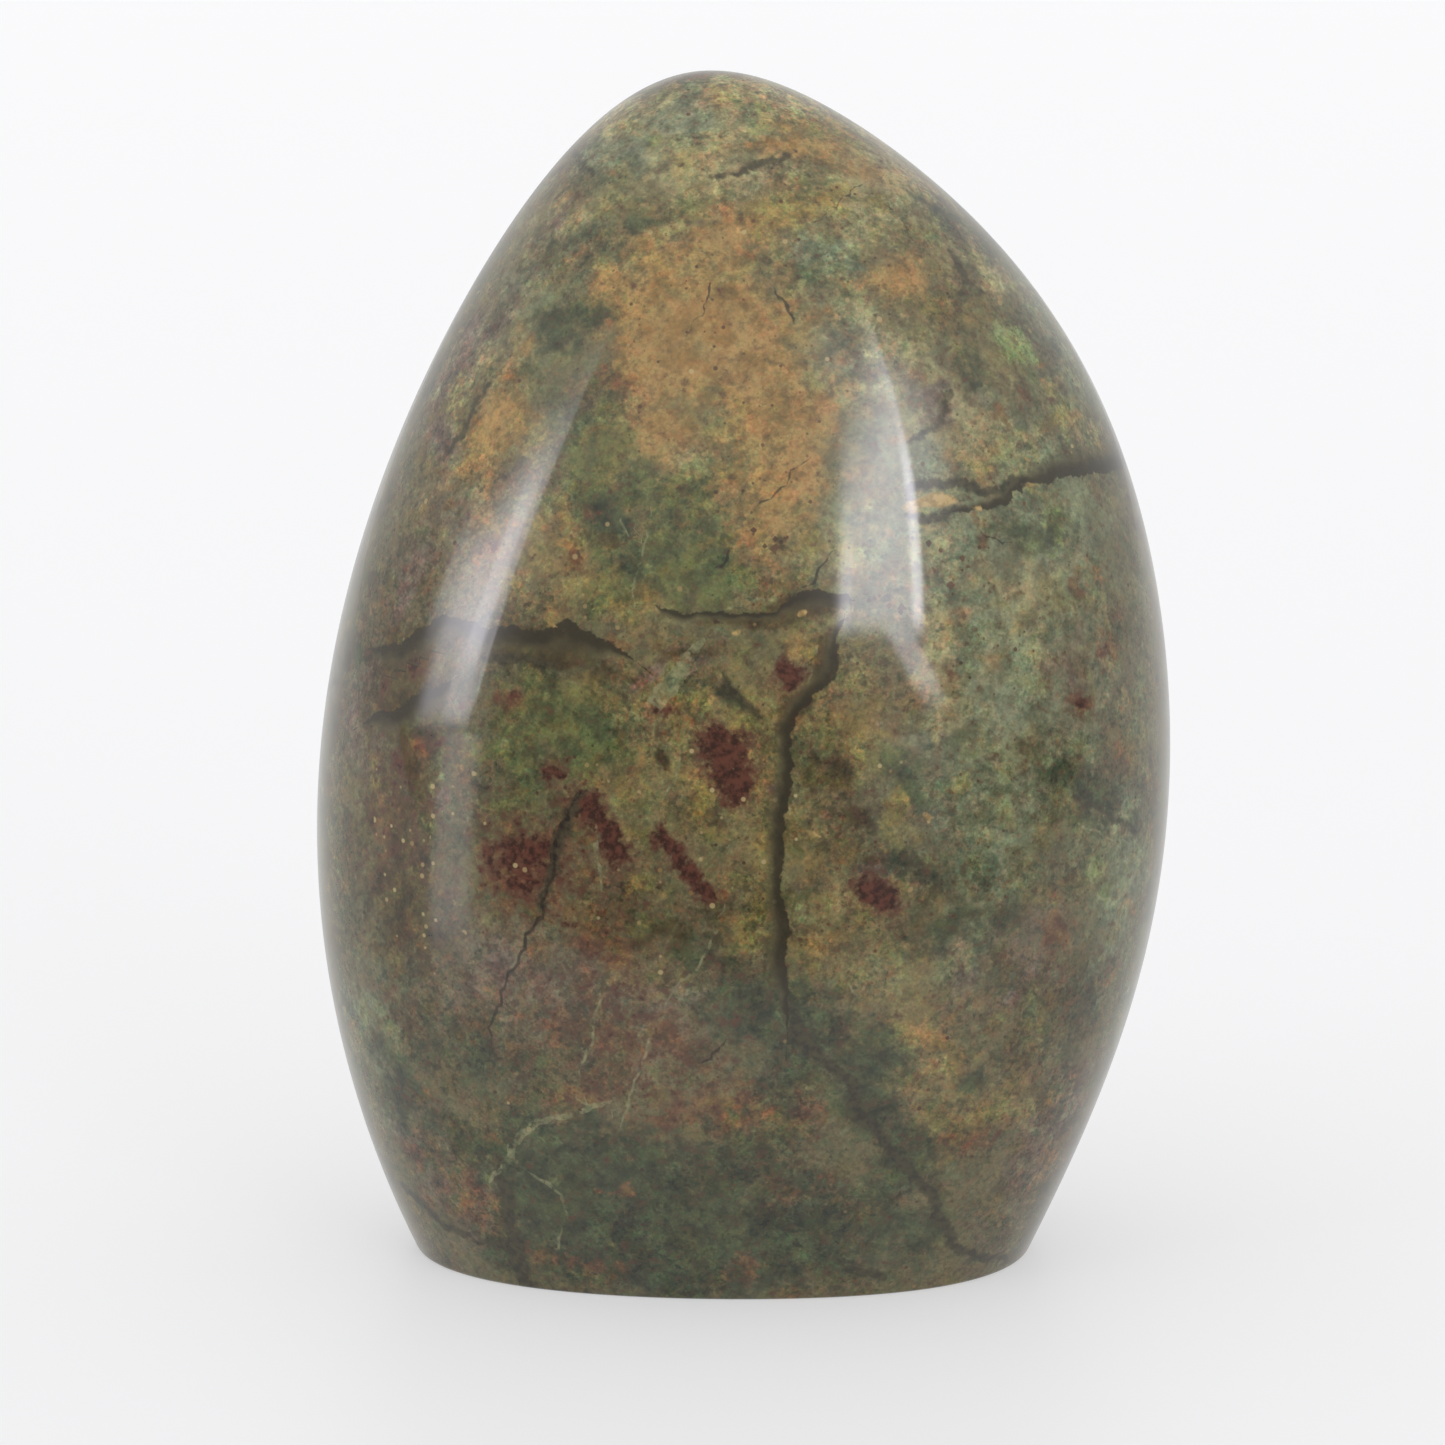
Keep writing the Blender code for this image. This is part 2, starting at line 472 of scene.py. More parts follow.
# %% The patches on the front, mineral by mineral
# x, z, half width, half height, tilt in degrees to the left, strength
FRONT_PATCHES = {
    "tan_clay": (
        (-2, 104, 14, 9, 10, 0.8), (3, 84, 7, 12, 0, 0.8), (-15, 76, 8, 6, -20, 0.7),
        (-25, 84, 5, 8, -25, 0.7), (9, 111, 9, 3, -20, 0.8), (0, 116, 10, 4, 0, 0.9),
        (12, 62, 5, 4, 0, 0.9), (10, 48, 7, 6, 0, 0.2), (12, 38, 7, 4, -35, 0.6),
        (17, 27, 3, 7, 20, 0.8), (-8, 56, 6, 6, 0, 0.6), (-2, 44, 6, 5, 0, 0.3), (27, 21, 7, 5, 0, 0.5),
        (2, 21, 6, 4, 0, 0.4), (20, 66, 6, 6, 0, 0.6), (18, 98, 6, 6, 0, 0.5), (-8, 85, 4, 4, 0, 0.6),
        (20, 75, 5, 5, 0, 0.4), (8, 66, 4, 4, 0, 0.5), (-6, 62, 6, 3.5, 0, 0.7),
        (-19, 71, 5, 2.5, 0, 0.5), (-10, 33, 4, 3, 0, 0.5), (1, 39, 2.5, 4, 0, 0.5),
        (0, 57, 5, 5, 0, 0.4), (-4, 50, 4, 3, 0, 0.5), (-4, 52.5, 2.5, 2.5, 0, 0.5),
        (10, 36, 3, 2.5, -35, 0.4), (3, 109, 8, 4, 0, 0.4),
    ),
    "grey_clay": (
        (25, 71, 8, 9, 0, 1), (20, 58, 5, 5, 0, 0.6), (25, 49, 6, 6, 0, 0.8), (31, 95, 6, 7, 20, 0.9),
        (30, 61, 7, 6, 0, 0.8), (31, 76, 6, 6, 0, 0.7), (25, 84, 7, 4, 0, 0.7), (-4, 113, 9, 4, 0, 0.6),
        (22, 88, 5, 3, 0, 0.6), (10, 94, 5, 6, 0, 0.6), (11, 78, 4, 9, 0, 0.6),
        (-14, 112, 6, 2.5, 0, 0.6), (-19, 103, 5, 5, 0, 0.4), (-37, 27, 5, 8, 0, 0.55),
        (36, 34, 4, 9, 0, 0.5), (8, 104, 4, 3, 0, 0.6), (20, 80, 6, 3, 0, 0.5), (36, 75, 4, 8, 0, 0.4),
        (22, 35, 4, 8, 0, 0.4), (18, 87, 4, 7, 0, 0.9), (-22, 97, 5, 5, 0, 0.5),
        (38, 46, 4, 10, 0, 0.5), (-35, 17, 4, 5, 0, 0.5), (20, 50, 4, 3, 0, 0.4),
    ),
    # Pale clay, and partly a painted reflection: near the top and beside the windows' highlights these
    # patches lighten the colour where the polish mirrors a veil of bright light. The tan and grey clay
    # patches at the very top do so in part too.
    "pale_clay_and_painted_veil": (
        (-2, 111, 7, 3, 0, 0.8), (-8, 116, 6, 2.5, 0, 0.9), (3, 117, 7, 2.5, 0, 0.8),
        (10, 96, 4, 5, 0, 0.5), (31, 96, 4, 5, 20, 0.6), (27, 71, 5, 6, 0, 0.5), (24, 85, 5, 3, 0, 0.6),
        (12, 105, 5, 3, -30, 0.5), (-27, 91, 4, 5, -30, 0.5), (16, 91, 4, 4, 0, 0.6),
        (-6, 86, 3, 3, 0, 0.5), (-26, 80, 4, 3, -20, 0.4), (10, 76, 4, 5, 0, 0.5),
        (18, 63, 5, 3, -20, 0.4), (-9, 103, 5, 3, 0, 0.4), (20, 70, 3.5, 9, 0, 0.65),
        (14, 109, 4, 3, -30, 0.8), (-18, 106, 4, 4, 30, 0.5), (20, 87, 4, 3, 0, 0.5),
        (33, 86, 3, 4, 0, 0.5), (-5, 62, 4, 2.5, 0, 0.3), (0, 119, 10, 3, 0, 0.6),
        (24, 66, 4, 5, 0, 0.4), (29, 57, 4, 4, 0, 0.2), (16, 110, 4, 2.5, -30, 0.6),
        (-15, 114.5, 3, 2, 30, 0.6), (-22, 92, 3, 4, -20, 0.3),
    ),
    "mauve_clay": (
        (-27, 93, 4, 8, -30, 0.8), (-31, 76, 4, 8, -15, 0.7), (-24, 34, 7, 5, 0, 0.7),
        (-33, 15, 5, 7, 0, 0.5), (31, 16, 5, 9, -15, 0.7), (29, 38, 5, 5, 0, 0.5),
        (-10, 29, 8, 6, 0, 0.4), (32, 62, 5, 5, 0, 0.5), (19, 89, 5, 4, -30, 0.5),
        (-37, 58, 4, 6, 0, 0.5), (-27, 9, 5, 4, 0, 0.7), (-23, 76, 4, 5, -20, 0.5),
        (20, 68, 4, 5, 0, 0.45), (14, 60, 4, 3, 0, 0.4),
    ),
    "grey_green": (
        (24, 66, 4, 9, 0, 0.7), (24, 45, 3.5, 3, 0, 0.6), (37, 42, 3, 9, 0, 0.6),
        (17, 85, 3, 4, 0, 0.6), (25.5, 61, 4, 4, 0, 0.6), (20, 77, 3.5, 2, 0, 0.5),
        (7.5, 103.5, 3, 2.2, 0, 0.9), (-13, 112.5, 3.5, 1.8, 0, 0.8), (-6, 115.5, 5, 2.5, 0, 0.8),
        (-37, 28, 4, 7, 0, 0.4), (13, 76, 3, 6, 0, 0.4), (1.2, 71.2, 1.6, 0.8, 10, 0.7),
        (-3, 68.5, 2.5, 0.8, -10, 0.6), (30, 76, 3.5, 3, 0, 0.6), (-6, 64.5, 2.2, 0.9, 50, 0.35),
    ),
    "ochre": (
        (-7, 99, 6.5, 4.5, 0, 0.9), (-1, 105.5, 6, 2.5, 10, 0.6), (-9, 93.5, 3.5, 3, 0, 0.8),
        (1.5, 94, 5.5, 5.5, 0, 0.85), (3.5, 86, 4.5, 5, 0, 0.85), (3, 79, 4, 3, 0, 0.7),
        (5.5, 113.5, 5, 1.8, -5, 0.6), (11, 111, 3.5, 2, -20, 0.5), (-24, 86, 3, 4, -20, 0.6),
        (-25, 78, 3, 3.5, -10, 0.3), (-20, 77, 2.5, 2, 0, 0.35), (-14.5, 74, 2.2, 2, 0, 0.4),
        (-7, 87, 3, 2.5, 0, 0.7), (15.5, 101, 3.2, 1.8, 0, 0.8), (9.5, 38, 4.5, 2.5, -35, 0.3),
        (6, 46, 1.6, 1.8, 0, 0.5), (17.5, 28.5, 1.8, 3.5, 25, 0.5), (5, 67, 1.2, 2.5, 0, 0.5),
        (-6.5, 54, 2.5, 3, 0, 0.2),
    ),
    "olive_gold": (
        (-12, 72.5, 2, 3, 10, 0.6), (-12.5, 84, 2.5, 3, 0, 0.4), (-9, 43.5, 2.2, 2, -20, 0.45),
        (15, 50, 2.5, 3, 25, 0.5), (5, 108, 4, 1.8, 5, 0.8), (12.5, 108, 2.5, 1.5, -20, 0.6),
        (13, 95, 2.5, 2, 0, 0.5), (31, 88, 2.5, 5, 25, 0.4), (1, 47, 1.3, 4.5, 0, 0.3),
        (6, 77, 1.2, 1.5, 0, 0.7), (24, 84, 4, 2, 0, 0.4), (-20, 74, 2.5, 2, 0, 0.5),
        (27.5, 81, 0.8, 1, 30, 0.9), (-36.2, 53, 0.7, 1.8, 0, 0.7), (21, 53.5, 1.5, 1.5, 0, 0.5),
        (-14, 62, 3.5, 2, -20, 0.6), (-10, 71.5, 2, 2, 0, 0.4),
    ),
    "moss": (
        (-14.5, 86, 1.8, 4, 0, 0.7), (-8, 84.5, 2.5, 1.6, 0, 0.35), (-6, 76, 4, 5, 0, 0.6),
        (-10.5, 81, 1.2, 2.5, -20, 0.7), (-15, 71.5, 1, 2, 20, 0.5), (-6.5, 79, 2.6, 3.6, 0, 0.95),
        (-4.5, 72.5, 3, 2, 0, 0.9), (-16, 59, 5, 4, 0, 0.8), (-21.5, 57, 3, 5, 0, 0.6),
        (15, 55.5, 1.8, 3, 30, 0.7), (-9, 41, 2, 1.6, 0, 0.7), (-9, 51, 3, 2, 0, 0.3),
        (18, 46, 3, 2, 0, 0.5), (-23, 51.5, 2, 1.5, 0, 0.6), (-26, 56, 2, 3, 0, 0.5),
        (-14.5, 83, 2.5, 3.5, 0, 0.6), (-14, 76.5, 1.8, 2.5, 0, 0.5), (-11.5, 73, 2.5, 2.5, 0, 0.5),
        (-32, 57.5, 1.5, 1.8, 0, 0.8), (-34.5, 50, 1, 3, 0, 0.7), (-30.5, 46.5, 1, 2.5, 0, 0.6),
        (-3, 76, 2.5, 4, 0, 0.5),
    ),
    "bright_green": (
        (26.5, 94, 2, 2.8, 20, 0.9), (30, 78, 3, 3, 0, 0.35), (-8.5, 113.8, 1, 0.6, 0, 0.8),
        (-18, 12, 1.8, 1.2, -30, 0.6), (34.3, 44, 1.3, 1.5, 0, 0.6), (35.5, 41, 1.2, 1.2, 0, 0.7),
        (22, 40, 2, 1.5, 0, 0.3), (28.5, 75.5, 2, 1.5, 0, 0.5), (6, 41, 1.5, 1, 0, 0.6),
        (-30, 52, 2, 4, 0, 0.3), (-10, 72.5, 1.8, 2.2, 0, 0.4),
    ),
    "mauve": (
        (-27, 94, 2.2, 5, -30, 0.8), (-29.5, 85, 2.2, 2.5, 0, 0.9), (-31.5, 72, 2, 3, -10, 0.6),
        (-33.5, 69.3, 1, 2, 0, 0.8), (18.5, 89, 2.8, 2.5, -30, 0.7), (-25, 34.5, 3.2, 2.2, 0, 0.7),
        (-6, 33.5, 3, 1.6, -20, 0.5), (31, 63, 4, 3.5, 0, 0.4), (32, 17, 3.2, 6, -15, 0.5),
        (29, 37, 3, 3, 0, 0.5), (23, 32, 4, 2.2, 0, 0.5), (-8.8, 64.5, 2.4, 0.7, 45, 0.8),
        (-6, 66.3, 2.5, 0.7, -10, 0.7), (-38.3, 57, 1.2, 2.5, 0, 0.8), (-36.2, 62, 0.9, 1.8, 0, 0.8),
        (3, 53.5, 0.7, 0.9, 0, 0.8), (12.5, 46, 2, 1.2, 0, 0.6), (-18, 107, 3, 2, 0, 0.4),
        (-29.5, 51, 1.4, 1.8, 0, 0.5), (20, 36, 2, 3, 0, 0.4),
    ),
    "dark_green": (
        (-18, 95.5, 3.2, 2.8, 0, 0.75), (-14, 97.5, 2, 1.5, 0, 0.5), (-10.5, 106, 1.8, 1.4, 0, 0.6),
        (21.5, 93, 1.6, 3, 20, 0.8), (24, 103, 2.5, 3.5, 30, 0.6), (28, 76.5, 4, 2.2, 0, 0.6),
        (-13, 79.2, 2.6, 1.5, -15, 0.75), (33, 52, 6.5, 2.4, -38, 0.85), (38, 47, 2.5, 2, -30, 0.6),
        (20, 44, 3, 2, -10, 0.6), (16.3, 53, 0.9, 2.4, 35, 0.8), (-1, 62, 2.8, 0.9, -35, 0.8),
        (-5, 37.5, 3, 2.2, 0, 0.7), (3.5, 31.5, 6, 3.2, -15, 0.95), (12, 26, 3.2, 3.5, 0, 0.95),
        (12, 20.5, 2.4, 2.5, 30, 0.6), (15.5, 15.5, 2.6, 3.5, 25, 0.85), (-11, 11, 10, 5.5, 0, 1),
        (-10, 4, 12, 4, 0, 0.9), (8, 7, 9, 5, 0, 0.7), (-27, 15.5, 3, 1.6, -20, 0.8),
        (-20.5, 11, 2.5, 2.5, 0, 0.8), (-26, 25, 5, 3, 0, 0.6), (-34, 20, 4, 7, 0, 0.7),
        (-18, 16, 6, 4, 0, 0.6), (22, 23, 2, 1.4, 0, 0.6), (33.5, 29, 2.5, 4, 0, 0.5),
        (25.5, 39, 3, 2, 0, 0.4), (2, 15.5, 3.5, 2.5, 0, 0.25), (2, 27, 3, 2.5, 0, 0.6),
        (14, 46, 4, 2.5, 0, 0.5), (20, 38, 4, 3, 0, 0.5), (-4, 32, 3, 2.5, 0, 0.4),
        (-12, 80.5, 3.5, 2, -20, 0.4), (-11, 74, 1.5, 2.5, 10, 0.4), (16.5, 52, 1.5, 4, 30, 0.3),
        (-31, 54, 2, 4, 0, 0.4), (14, 23.5, 3, 3, 0, 0.5), (18, 6, 2.5, 3, 0, 0.5),
        (-18, 89, 1.4, 2, 0, 0.4), (-38, 63.3, 1.2, 1, 0, 0.9), (-6, 17, 8, 5, 0, 0.3),
        (3, 25, 4, 3, 0, 0.3), (-34, 49, 2, 2, 0, 0.4), (-31, 75, 1.5, 1.5, 0, 0.5),
        (-23, 3, 3, 2, 0, 0.4), (18, 107, 4, 3, -40, 0.4),
    ),
    "umber": (
        (-34, 41, 4.5, 6, 0, 0.85), (-33.5, 51, 1.8, 3, 0, 0.5), (-36, 59, 3, 5, 0, 0.6),
        (-20, 66.3, 4.5, 1.5, 0, 0.85), (-15, 65, 4.5, 1.8, -25, 0.6), (5.2, 70.6, 3.2, 1.1, 5, 1),
        (0.5, 69.4, 3, 0.7, 0, 0.9), (7.3, 65.2, 1, 2.6, -10, 0.9), (-5.5, 66.3, 3, 0.5, 8, 0.8),
        (7.5, 55.5, 2.5, 3, 0, 0.4), (-13, 76.8, 2, 0.6, -10, 0.6), (-7.7, 56.2, 0.5, 1.5, 25, 1),
        (-36.5, 49, 0.7, 1.6, 0, 0.9), (-36.8, 64.2, 1.1, 0.8, 0, 1), (-30, 62, 2, 2, 0, 0.4),
        (-33.5, 63, 2.5, 3, 0, 0.8), (-31, 57, 1.5, 3, 0, 0.6), (-30, 38, 4, 4, 0, 0.4),
        (-8, 39.5, 3, 1.5, 0, 0.5), (4.8, 61, 1.2, 2, -35, 0.8), (3.5, 76.5, 0.6, 1, 0, 0.7),
        (-33, 55, 1, 2, 0, 0.9), (-31.5, 52.5, 0.9, 1.5, 0, 0.9), (-33.5, 46, 1.2, 2.5, 0, 0.8),
        (-31.5, 44.5, 1, 1.5, 0, 0.8), (-32.5, 40.5, 1.5, 2, 0, 0.9), (-30.5, 37.5, 1.5, 1, 0, 0.7),
        (-32.4, 66.3, 2.2, 0.6, 28, 0.9), (-32.6, 60.4, 2.8, 0.9, 28, 1), (-31.6, 64.1, 1.4, 1.6, 0, 1),
        (-35, 61.4, 0.7, 1.5, 0, 0.9), (8.5, 54, 4, 4, 0, 0.25), (4, 44, 3, 4, 0, 0.2),
        (-11, 37, 4, 3, 0, 0.2), (11, 50.5, 2, 1, 0, 0.5), (12, 46.3, 3, 0.7, -5, 0.5),
        (34.5, 82.5, 3, 1.2, 0, 0.4), (-12, 38, 2, 1, 0, 0.4),
    ),
    "rust": (
        (-21.5, 45, 3.8, 3.5, 0, 0.85), (-14, 48, 2.6, 4, 10, 0.5), (-14, 38.5, 2.5, 1.8, -40, 0.8),
        (-18, 29.5, 1.6, 2, 0, 0.7), (-12, 28, 2, 1.6, 0, 0.7), (-7, 28.6, 3, 1.1, -40, 1),
        (-15.5, 22.3, 2.2, 1.2, 0, 0.7), (-1.5, 22, 4, 2.6, 0, 0.6), (6.5, 20.7, 2, 1.3, 0, 0.7),
        (-7.5, 20, 2, 1.5, 0, 0.5), (-12.5, 12, 2.5, 0.8, 10, 0.7), (-15, 3.5, 5, 1, 0, 0.6),
        (0, 3.5, 1.8, 1.5, 0, 0.6), (7.5, 13.5, 2, 1.3, 0, 0.5), (22, 17, 3, 2, 0, 0.5),
        (23.5, 29, 3.5, 1.4, 0, 0.4), (-27, 9, 3.5, 3.2, 0, 0.7), (-33, 13, 3, 2, 0, 0.5),
        (-20.5, 4, 1.8, 2, 0, 0.5), (-32, 21, 3, 3, 0, 0.4), (-35.5, 47, 1.6, 3.5, 0, 0.6),
        (-31.3, 55.8, 1.4, 1.4, 0, 0.8), (-22.5, 61.5, 2, 1.3, 20, 0.7),
        (-12.5, 91.6, 1.9, 0.9, -30, 1), (32.2, 71.5, 1.6, 2, 0, 0.6), (35.4, 65, 1.8, 2.4, 0, 0.75),
        (32.5, 60.3, 1.8, 1.1, 0, 0.9), (30.5, 38, 1.8, 3.5, 0, 0.8), (25, 87.7, 0.8, 1.8, 20, 1),
        (27.2, 89.5, 0.9, 1, 0, 0.7), (-28.5, 79, 1, 0.7, 0, 0.8), (1.7, 72.9, 1.1, 0.5, 0, 0.9),
        (37, 54, 1.6, 3, 0, 0.5), (22.6, 78, 0.8, 1.5, -15, 0.65), (23.2, 75.8, 0.9, 0.9, 0, 0.6),
        (-14.4, 79.2, 0.9, 0.6, -20, 0.9), (-16, 74.8, 0.7, 1.8, 20, 0.9),
        (-11.8, 67.2, 1.4, 0.6, -20, 0.9), (25, 97, 0.9, 0.8, 0, 0.6), (-1.8, 43, 0.8, 1, 0, 0.8),
        (-11, 56, 1.2, 1.5, 0, 0.5), (13.5, 41.3, 2, 1, -30, 0.9), (-17, 51, 2.5, 2, 30, 0.5),
        (17, 66, 3, 3, 0, 0.3), (-1, 77.5, 1.5, 1, 0, 0.5), (-3, 36, 2, 1.2, 0, 0.4),
        (20, 64, 1, 0.8, 0, 0.6), (6.5, 50, 3, 1, -10, 0.4), (-13, 34, 9, 8, -30, 0.25),
        (-10, 22, 10, 5, 0, 0.2), (27, 14, 6, 8, 0, 0.2),
    ),
    "brick": (
        (-2.6, 58.2, 1.6, 1.3, -10, 1), (-1.6, 56, 2.1, 2, 0, 1), (-0.7, 53.5, 1.3, 1.4, 0, 1),
        (4.2, 64.6, 1.2, 0.9, 0, 1), (4.5, 63.4, 0.7, 1, 0, 0.9), (-8, 48.9, 0.7, 0.9, 0, 0.8),
        (-6.6, 47.4, 0.9, 1.2, 20, 1), (-5.3, 45.4, 0.8, 1.3, 30, 1), (-4, 43.8, 0.8, 1, 35, 0.9),
        (-3.2, 42.8, 0.5, 0.7, 35, 0.7), (-15, 51.8, 1.4, 1.2, 20, 1), (-13.4, 49.6, 1, 1.5, 20, 0.9),
        (-12.2, 47.6, 0.9, 1.5, 15, 1), (12.2, 43.6, 1.7, 1.2, 0, 1), (13.8, 42.4, 1.2, 0.9, -30, 0.85),
        (-7.4, 60.9, 1.4, 0.5, 0, 0.8), (-19.5, 47, 1.2, 1.1, 0, 0.6), (-22.5, 47, 1.3, 0.7, 0, 0.55),
        (-21.5, 43.8, 2.4, 1.8, 0, 0.5), (-18, 54.8, 1.1, 0.8, 0, 0.8), (-32, 64, 1.4, 1.2, 0, 0.7),
        (-35.1, 61, 0.5, 1.2, 0, 0.6), (-33.6, 54.2, 0.5, 1, 30, 0.8), (-21, 46.4, 2.8, 1.4, 0, 0.5),
        (-24, 75.6, 0.6, 0.3, 0, 0.9), (32.7, 60.3, 1, 0.9, 0, 0.6), (35.2, 64.8, 0.8, 1.1, 0, 0.45),
        (-13, 34, 9, 7, -30, 0.2), (-20, 46, 7, 5, 0, 0.25), (-8, 24, 8, 5, 0, 0.15),
        (-34, 50, 4, 8, 0, 0.25), (-24.8, 46, 0.6, 0.8, 0, 0.6), (-22, 61.5, 0.9, 0.6, 20, 0.6),
        (-27, 60.3, 0.4, 0.5, 0, 0.9), (-29, 57, 0.5, 0.7, 0, 0.5),
    ),
    "crumbs": (
        (-33, 48.5, 2.8, 5, 0, 1), (-31.5, 40, 2.5, 4, 0, 0.7), (-15, 71.5, 1.2, 1.5, 0, 0.9),
        (-17, 75, 1, 2, 20, 0.9), (-14.5, 79, 1.5, 1, 0, 0.8), (-9.5, 39, 2, 1.5, 0, 0.8),
        (-11.5, 24.3, 1.2, 1.2, 0, 0.9), (-8.7, 10.3, 1.2, 1, 0, 0.9), (17.7, 50.4, 1, 1.2, 0, 0.9),
        (7, 58.5, 2, 1.2, 0, 0.8), (12, 57, 1.5, 1.5, 0, 0.7), (-9, 71, 2, 1, 0, 0.7),
        (-26, 40, 1.2, 1.5, 0, 0.8), (18, 37, 1, 1, 0, 0.7), (-12, 67.3, 2, 0.8, 0, 0.7),
        (-18.5, 68.6, 1.5, 0.5, 0, 0.7), (3, 49, 10, 8, 0, 0.3), (0, 97, 10, 8, 0, 0.25),
        (-7, 72, 1.5, 1, 0, 0.5), (-30, 54, 5, 8, 0, 0.3), (33, 84, 3, 2, 0, 0.4),
        (-1, 54, 1.8, 2.5, 0, 0.4), (-13, 49, 1.5, 3, 15, 0.6), (-5, 45, 1.5, 2.5, 30, 0.5),
        (-21, 46, 3, 2.5, 0, 0.5),
    ),
    "pits": (
        (13, 71, 3, 2, 0, 1), (18.5, 75.5, 3, 1.8, -20, 1), (16.5, 67.5, 1.5, 1.5, 0, 0.8),
        (2, 80, 3, 3, 0, 0.7), (0, 96, 10, 6, 0, 0.5), (9, 104, 3, 2, 0, 0.7), (-27, 58, 2, 3, 0, 0.8),
        (-26, 76, 2, 2, 0, 0.6), (8, 48, 6, 5, 0, 0.5), (-33, 48, 3, 4, 0, 0.6), (22, 80, 4, 2, 0, 0.5),
        (-12, 80, 3, 3, 0, 0.5),
    ),
    "splinters": (
        (21.4, 74.1, 1.5, 0.6, 0, 1), (20, 73, 0.6, 1.2, 0, 1), (17.8, 76.5, 0.5, 0.9, 0, 1),
        (15.3, 71.3, 0.5, 0.8, 0, 1), (24, 71.6, 0.8, 0.5, 0, 1), (19.8, 75.3, 0.9, 0.4, 0, 1),
        (12.2, 71, 1.4, 1.2, 0, 0.6), (21.3, 82.2, 0.5, 0.4, 0, 1), (29.4, 70.7, 0.4, 0.3, 0, 1),
        (15.6, 68, 0.4, 0.9, 0, 0.8), (15.4, 65, 0.7, 0.3, 0, 0.8), (-24, 75.6, 0.9, 0.4, 0, 1),
        (-14.3, 104.6, 0.5, 0.8, 0, 1), (25, 67.8, 0.4, 0.3, 0, 1), (2, 78.5, 3, 2, 0, 0.3),
        (-26.9, 58.7, 0.4, 0.4, 0, 1),
    ),
}
print("the front has", sum(map(len, FRONT_PATCHES.values())), "patches")

# %% [markdown]
# ## The same minerals behind
# A picture doesn't show the back, but the clouds of a lump run through it. So each patch comes
# out again behind, straight through the stone from where it is in front. On the way it drifts
# by a few millimetres and swings a little to the side, so that the back is no mirror image.

# %% Where the patches come out behind
SIDEWAYS = 1.25  # the patches of the front spread this much wider behind, so as to meet them
TURN_DRIFT = 9.0  # degrees
RISE_DRIFT = 5.0  # mm
LOWEST, HIGHEST = 1.0, 117.0
drift = np.random.default_rng(23)


def come_out_behind(patches):
    """Patches given as turn in degrees and z, for patches given as x and z on the front.

    The turn is 180 - SIDEWAYS * (turn on the front), and both it and z drift by a normal chance.
    """
    x, z, wide, high, tilt, strength = np.array(patches, float).T
    turned = 180 - SIDEWAYS * np.degrees(turn_on_front(x, z)) + drift.normal(0, TURN_DRIFT, len(x))
    risen = np.clip(z + drift.normal(0, RISE_DRIFT, len(x)), LOWEST, HIGHEST)
    return np.stack([turned, risen, wide, high, -tilt, strength], axis=1)


# %% Melt the patches into fields
PATCH_FALLS = 0.7


def cloud(patches, on_front):
    """Melts patches into one field on the skin, from 0 to 1.

    A patch is exp(-PATCH_FALLS r^2), where r is 1 on an oval with the patch's half sizes. The
    oval lies in the skin and is as deep as it is wide. Patches melt as 1 - (1 - a)(1 - b), so
    none passes 1.
    """
    clear = np.ones(len(places))
    for first, z, wide, high, tilt, strength in patches:
        middle, across, up = where(np.array(first, float), np.array(z, float), on_front)
        offset = places - middle
        right, rise = offset @ across, offset @ up
        lean = np.radians(tilt)
        along = right * np.cos(lean) + rise * np.sin(lean)
        beside = rise * np.cos(lean) - right * np.sin(lean)
        depth = offset @ np.cross(across, up)
        r2 = (along / wide) ** 2 + (beside / high) ** 2 + (depth / (wide + high)) ** 2
        clear *= 1 - strength * np.exp(-PATCH_FALLS * r2)
    return 1 - clear


def keep(name, values):
    """Stores one number for each point of the skin, for the shader to read by name."""
    attribute = stone_mesh.attributes.new(name, "FLOAT", "POINT")
    attribute.data.foreach_set("value", np.asarray(values, np.float32))


for mineral in FRONT_PATCHES:
    near = cloud(FRONT_PATCHES[mineral], True)
    far = cloud(come_out_behind(FRONT_PATCHES[mineral]), False)
    field = 1 - (1 - near) * (1 - far)
    keep(mineral, field)
    print(mineral, "covers about", round(float(np.mean(field > 0.5)) * 100), "percent of the skin")

# %% [markdown]
# ## Fissures, cracks and veins
# The stone cracked underground several times. Wide fissures filled with dark clay from one
# wall on, so they have one crisp edge and fade towards the other side. Younger cracks stayed
# hair-thin, some healed with pale green quartz, and cream-coloured clay fills small holes.
# Each is a line through a few places. What the mesh keeps is a distance, which is straight
# from one point of the grid to the next, so the shader can draw an edge from it that is far
# finer than the grid.

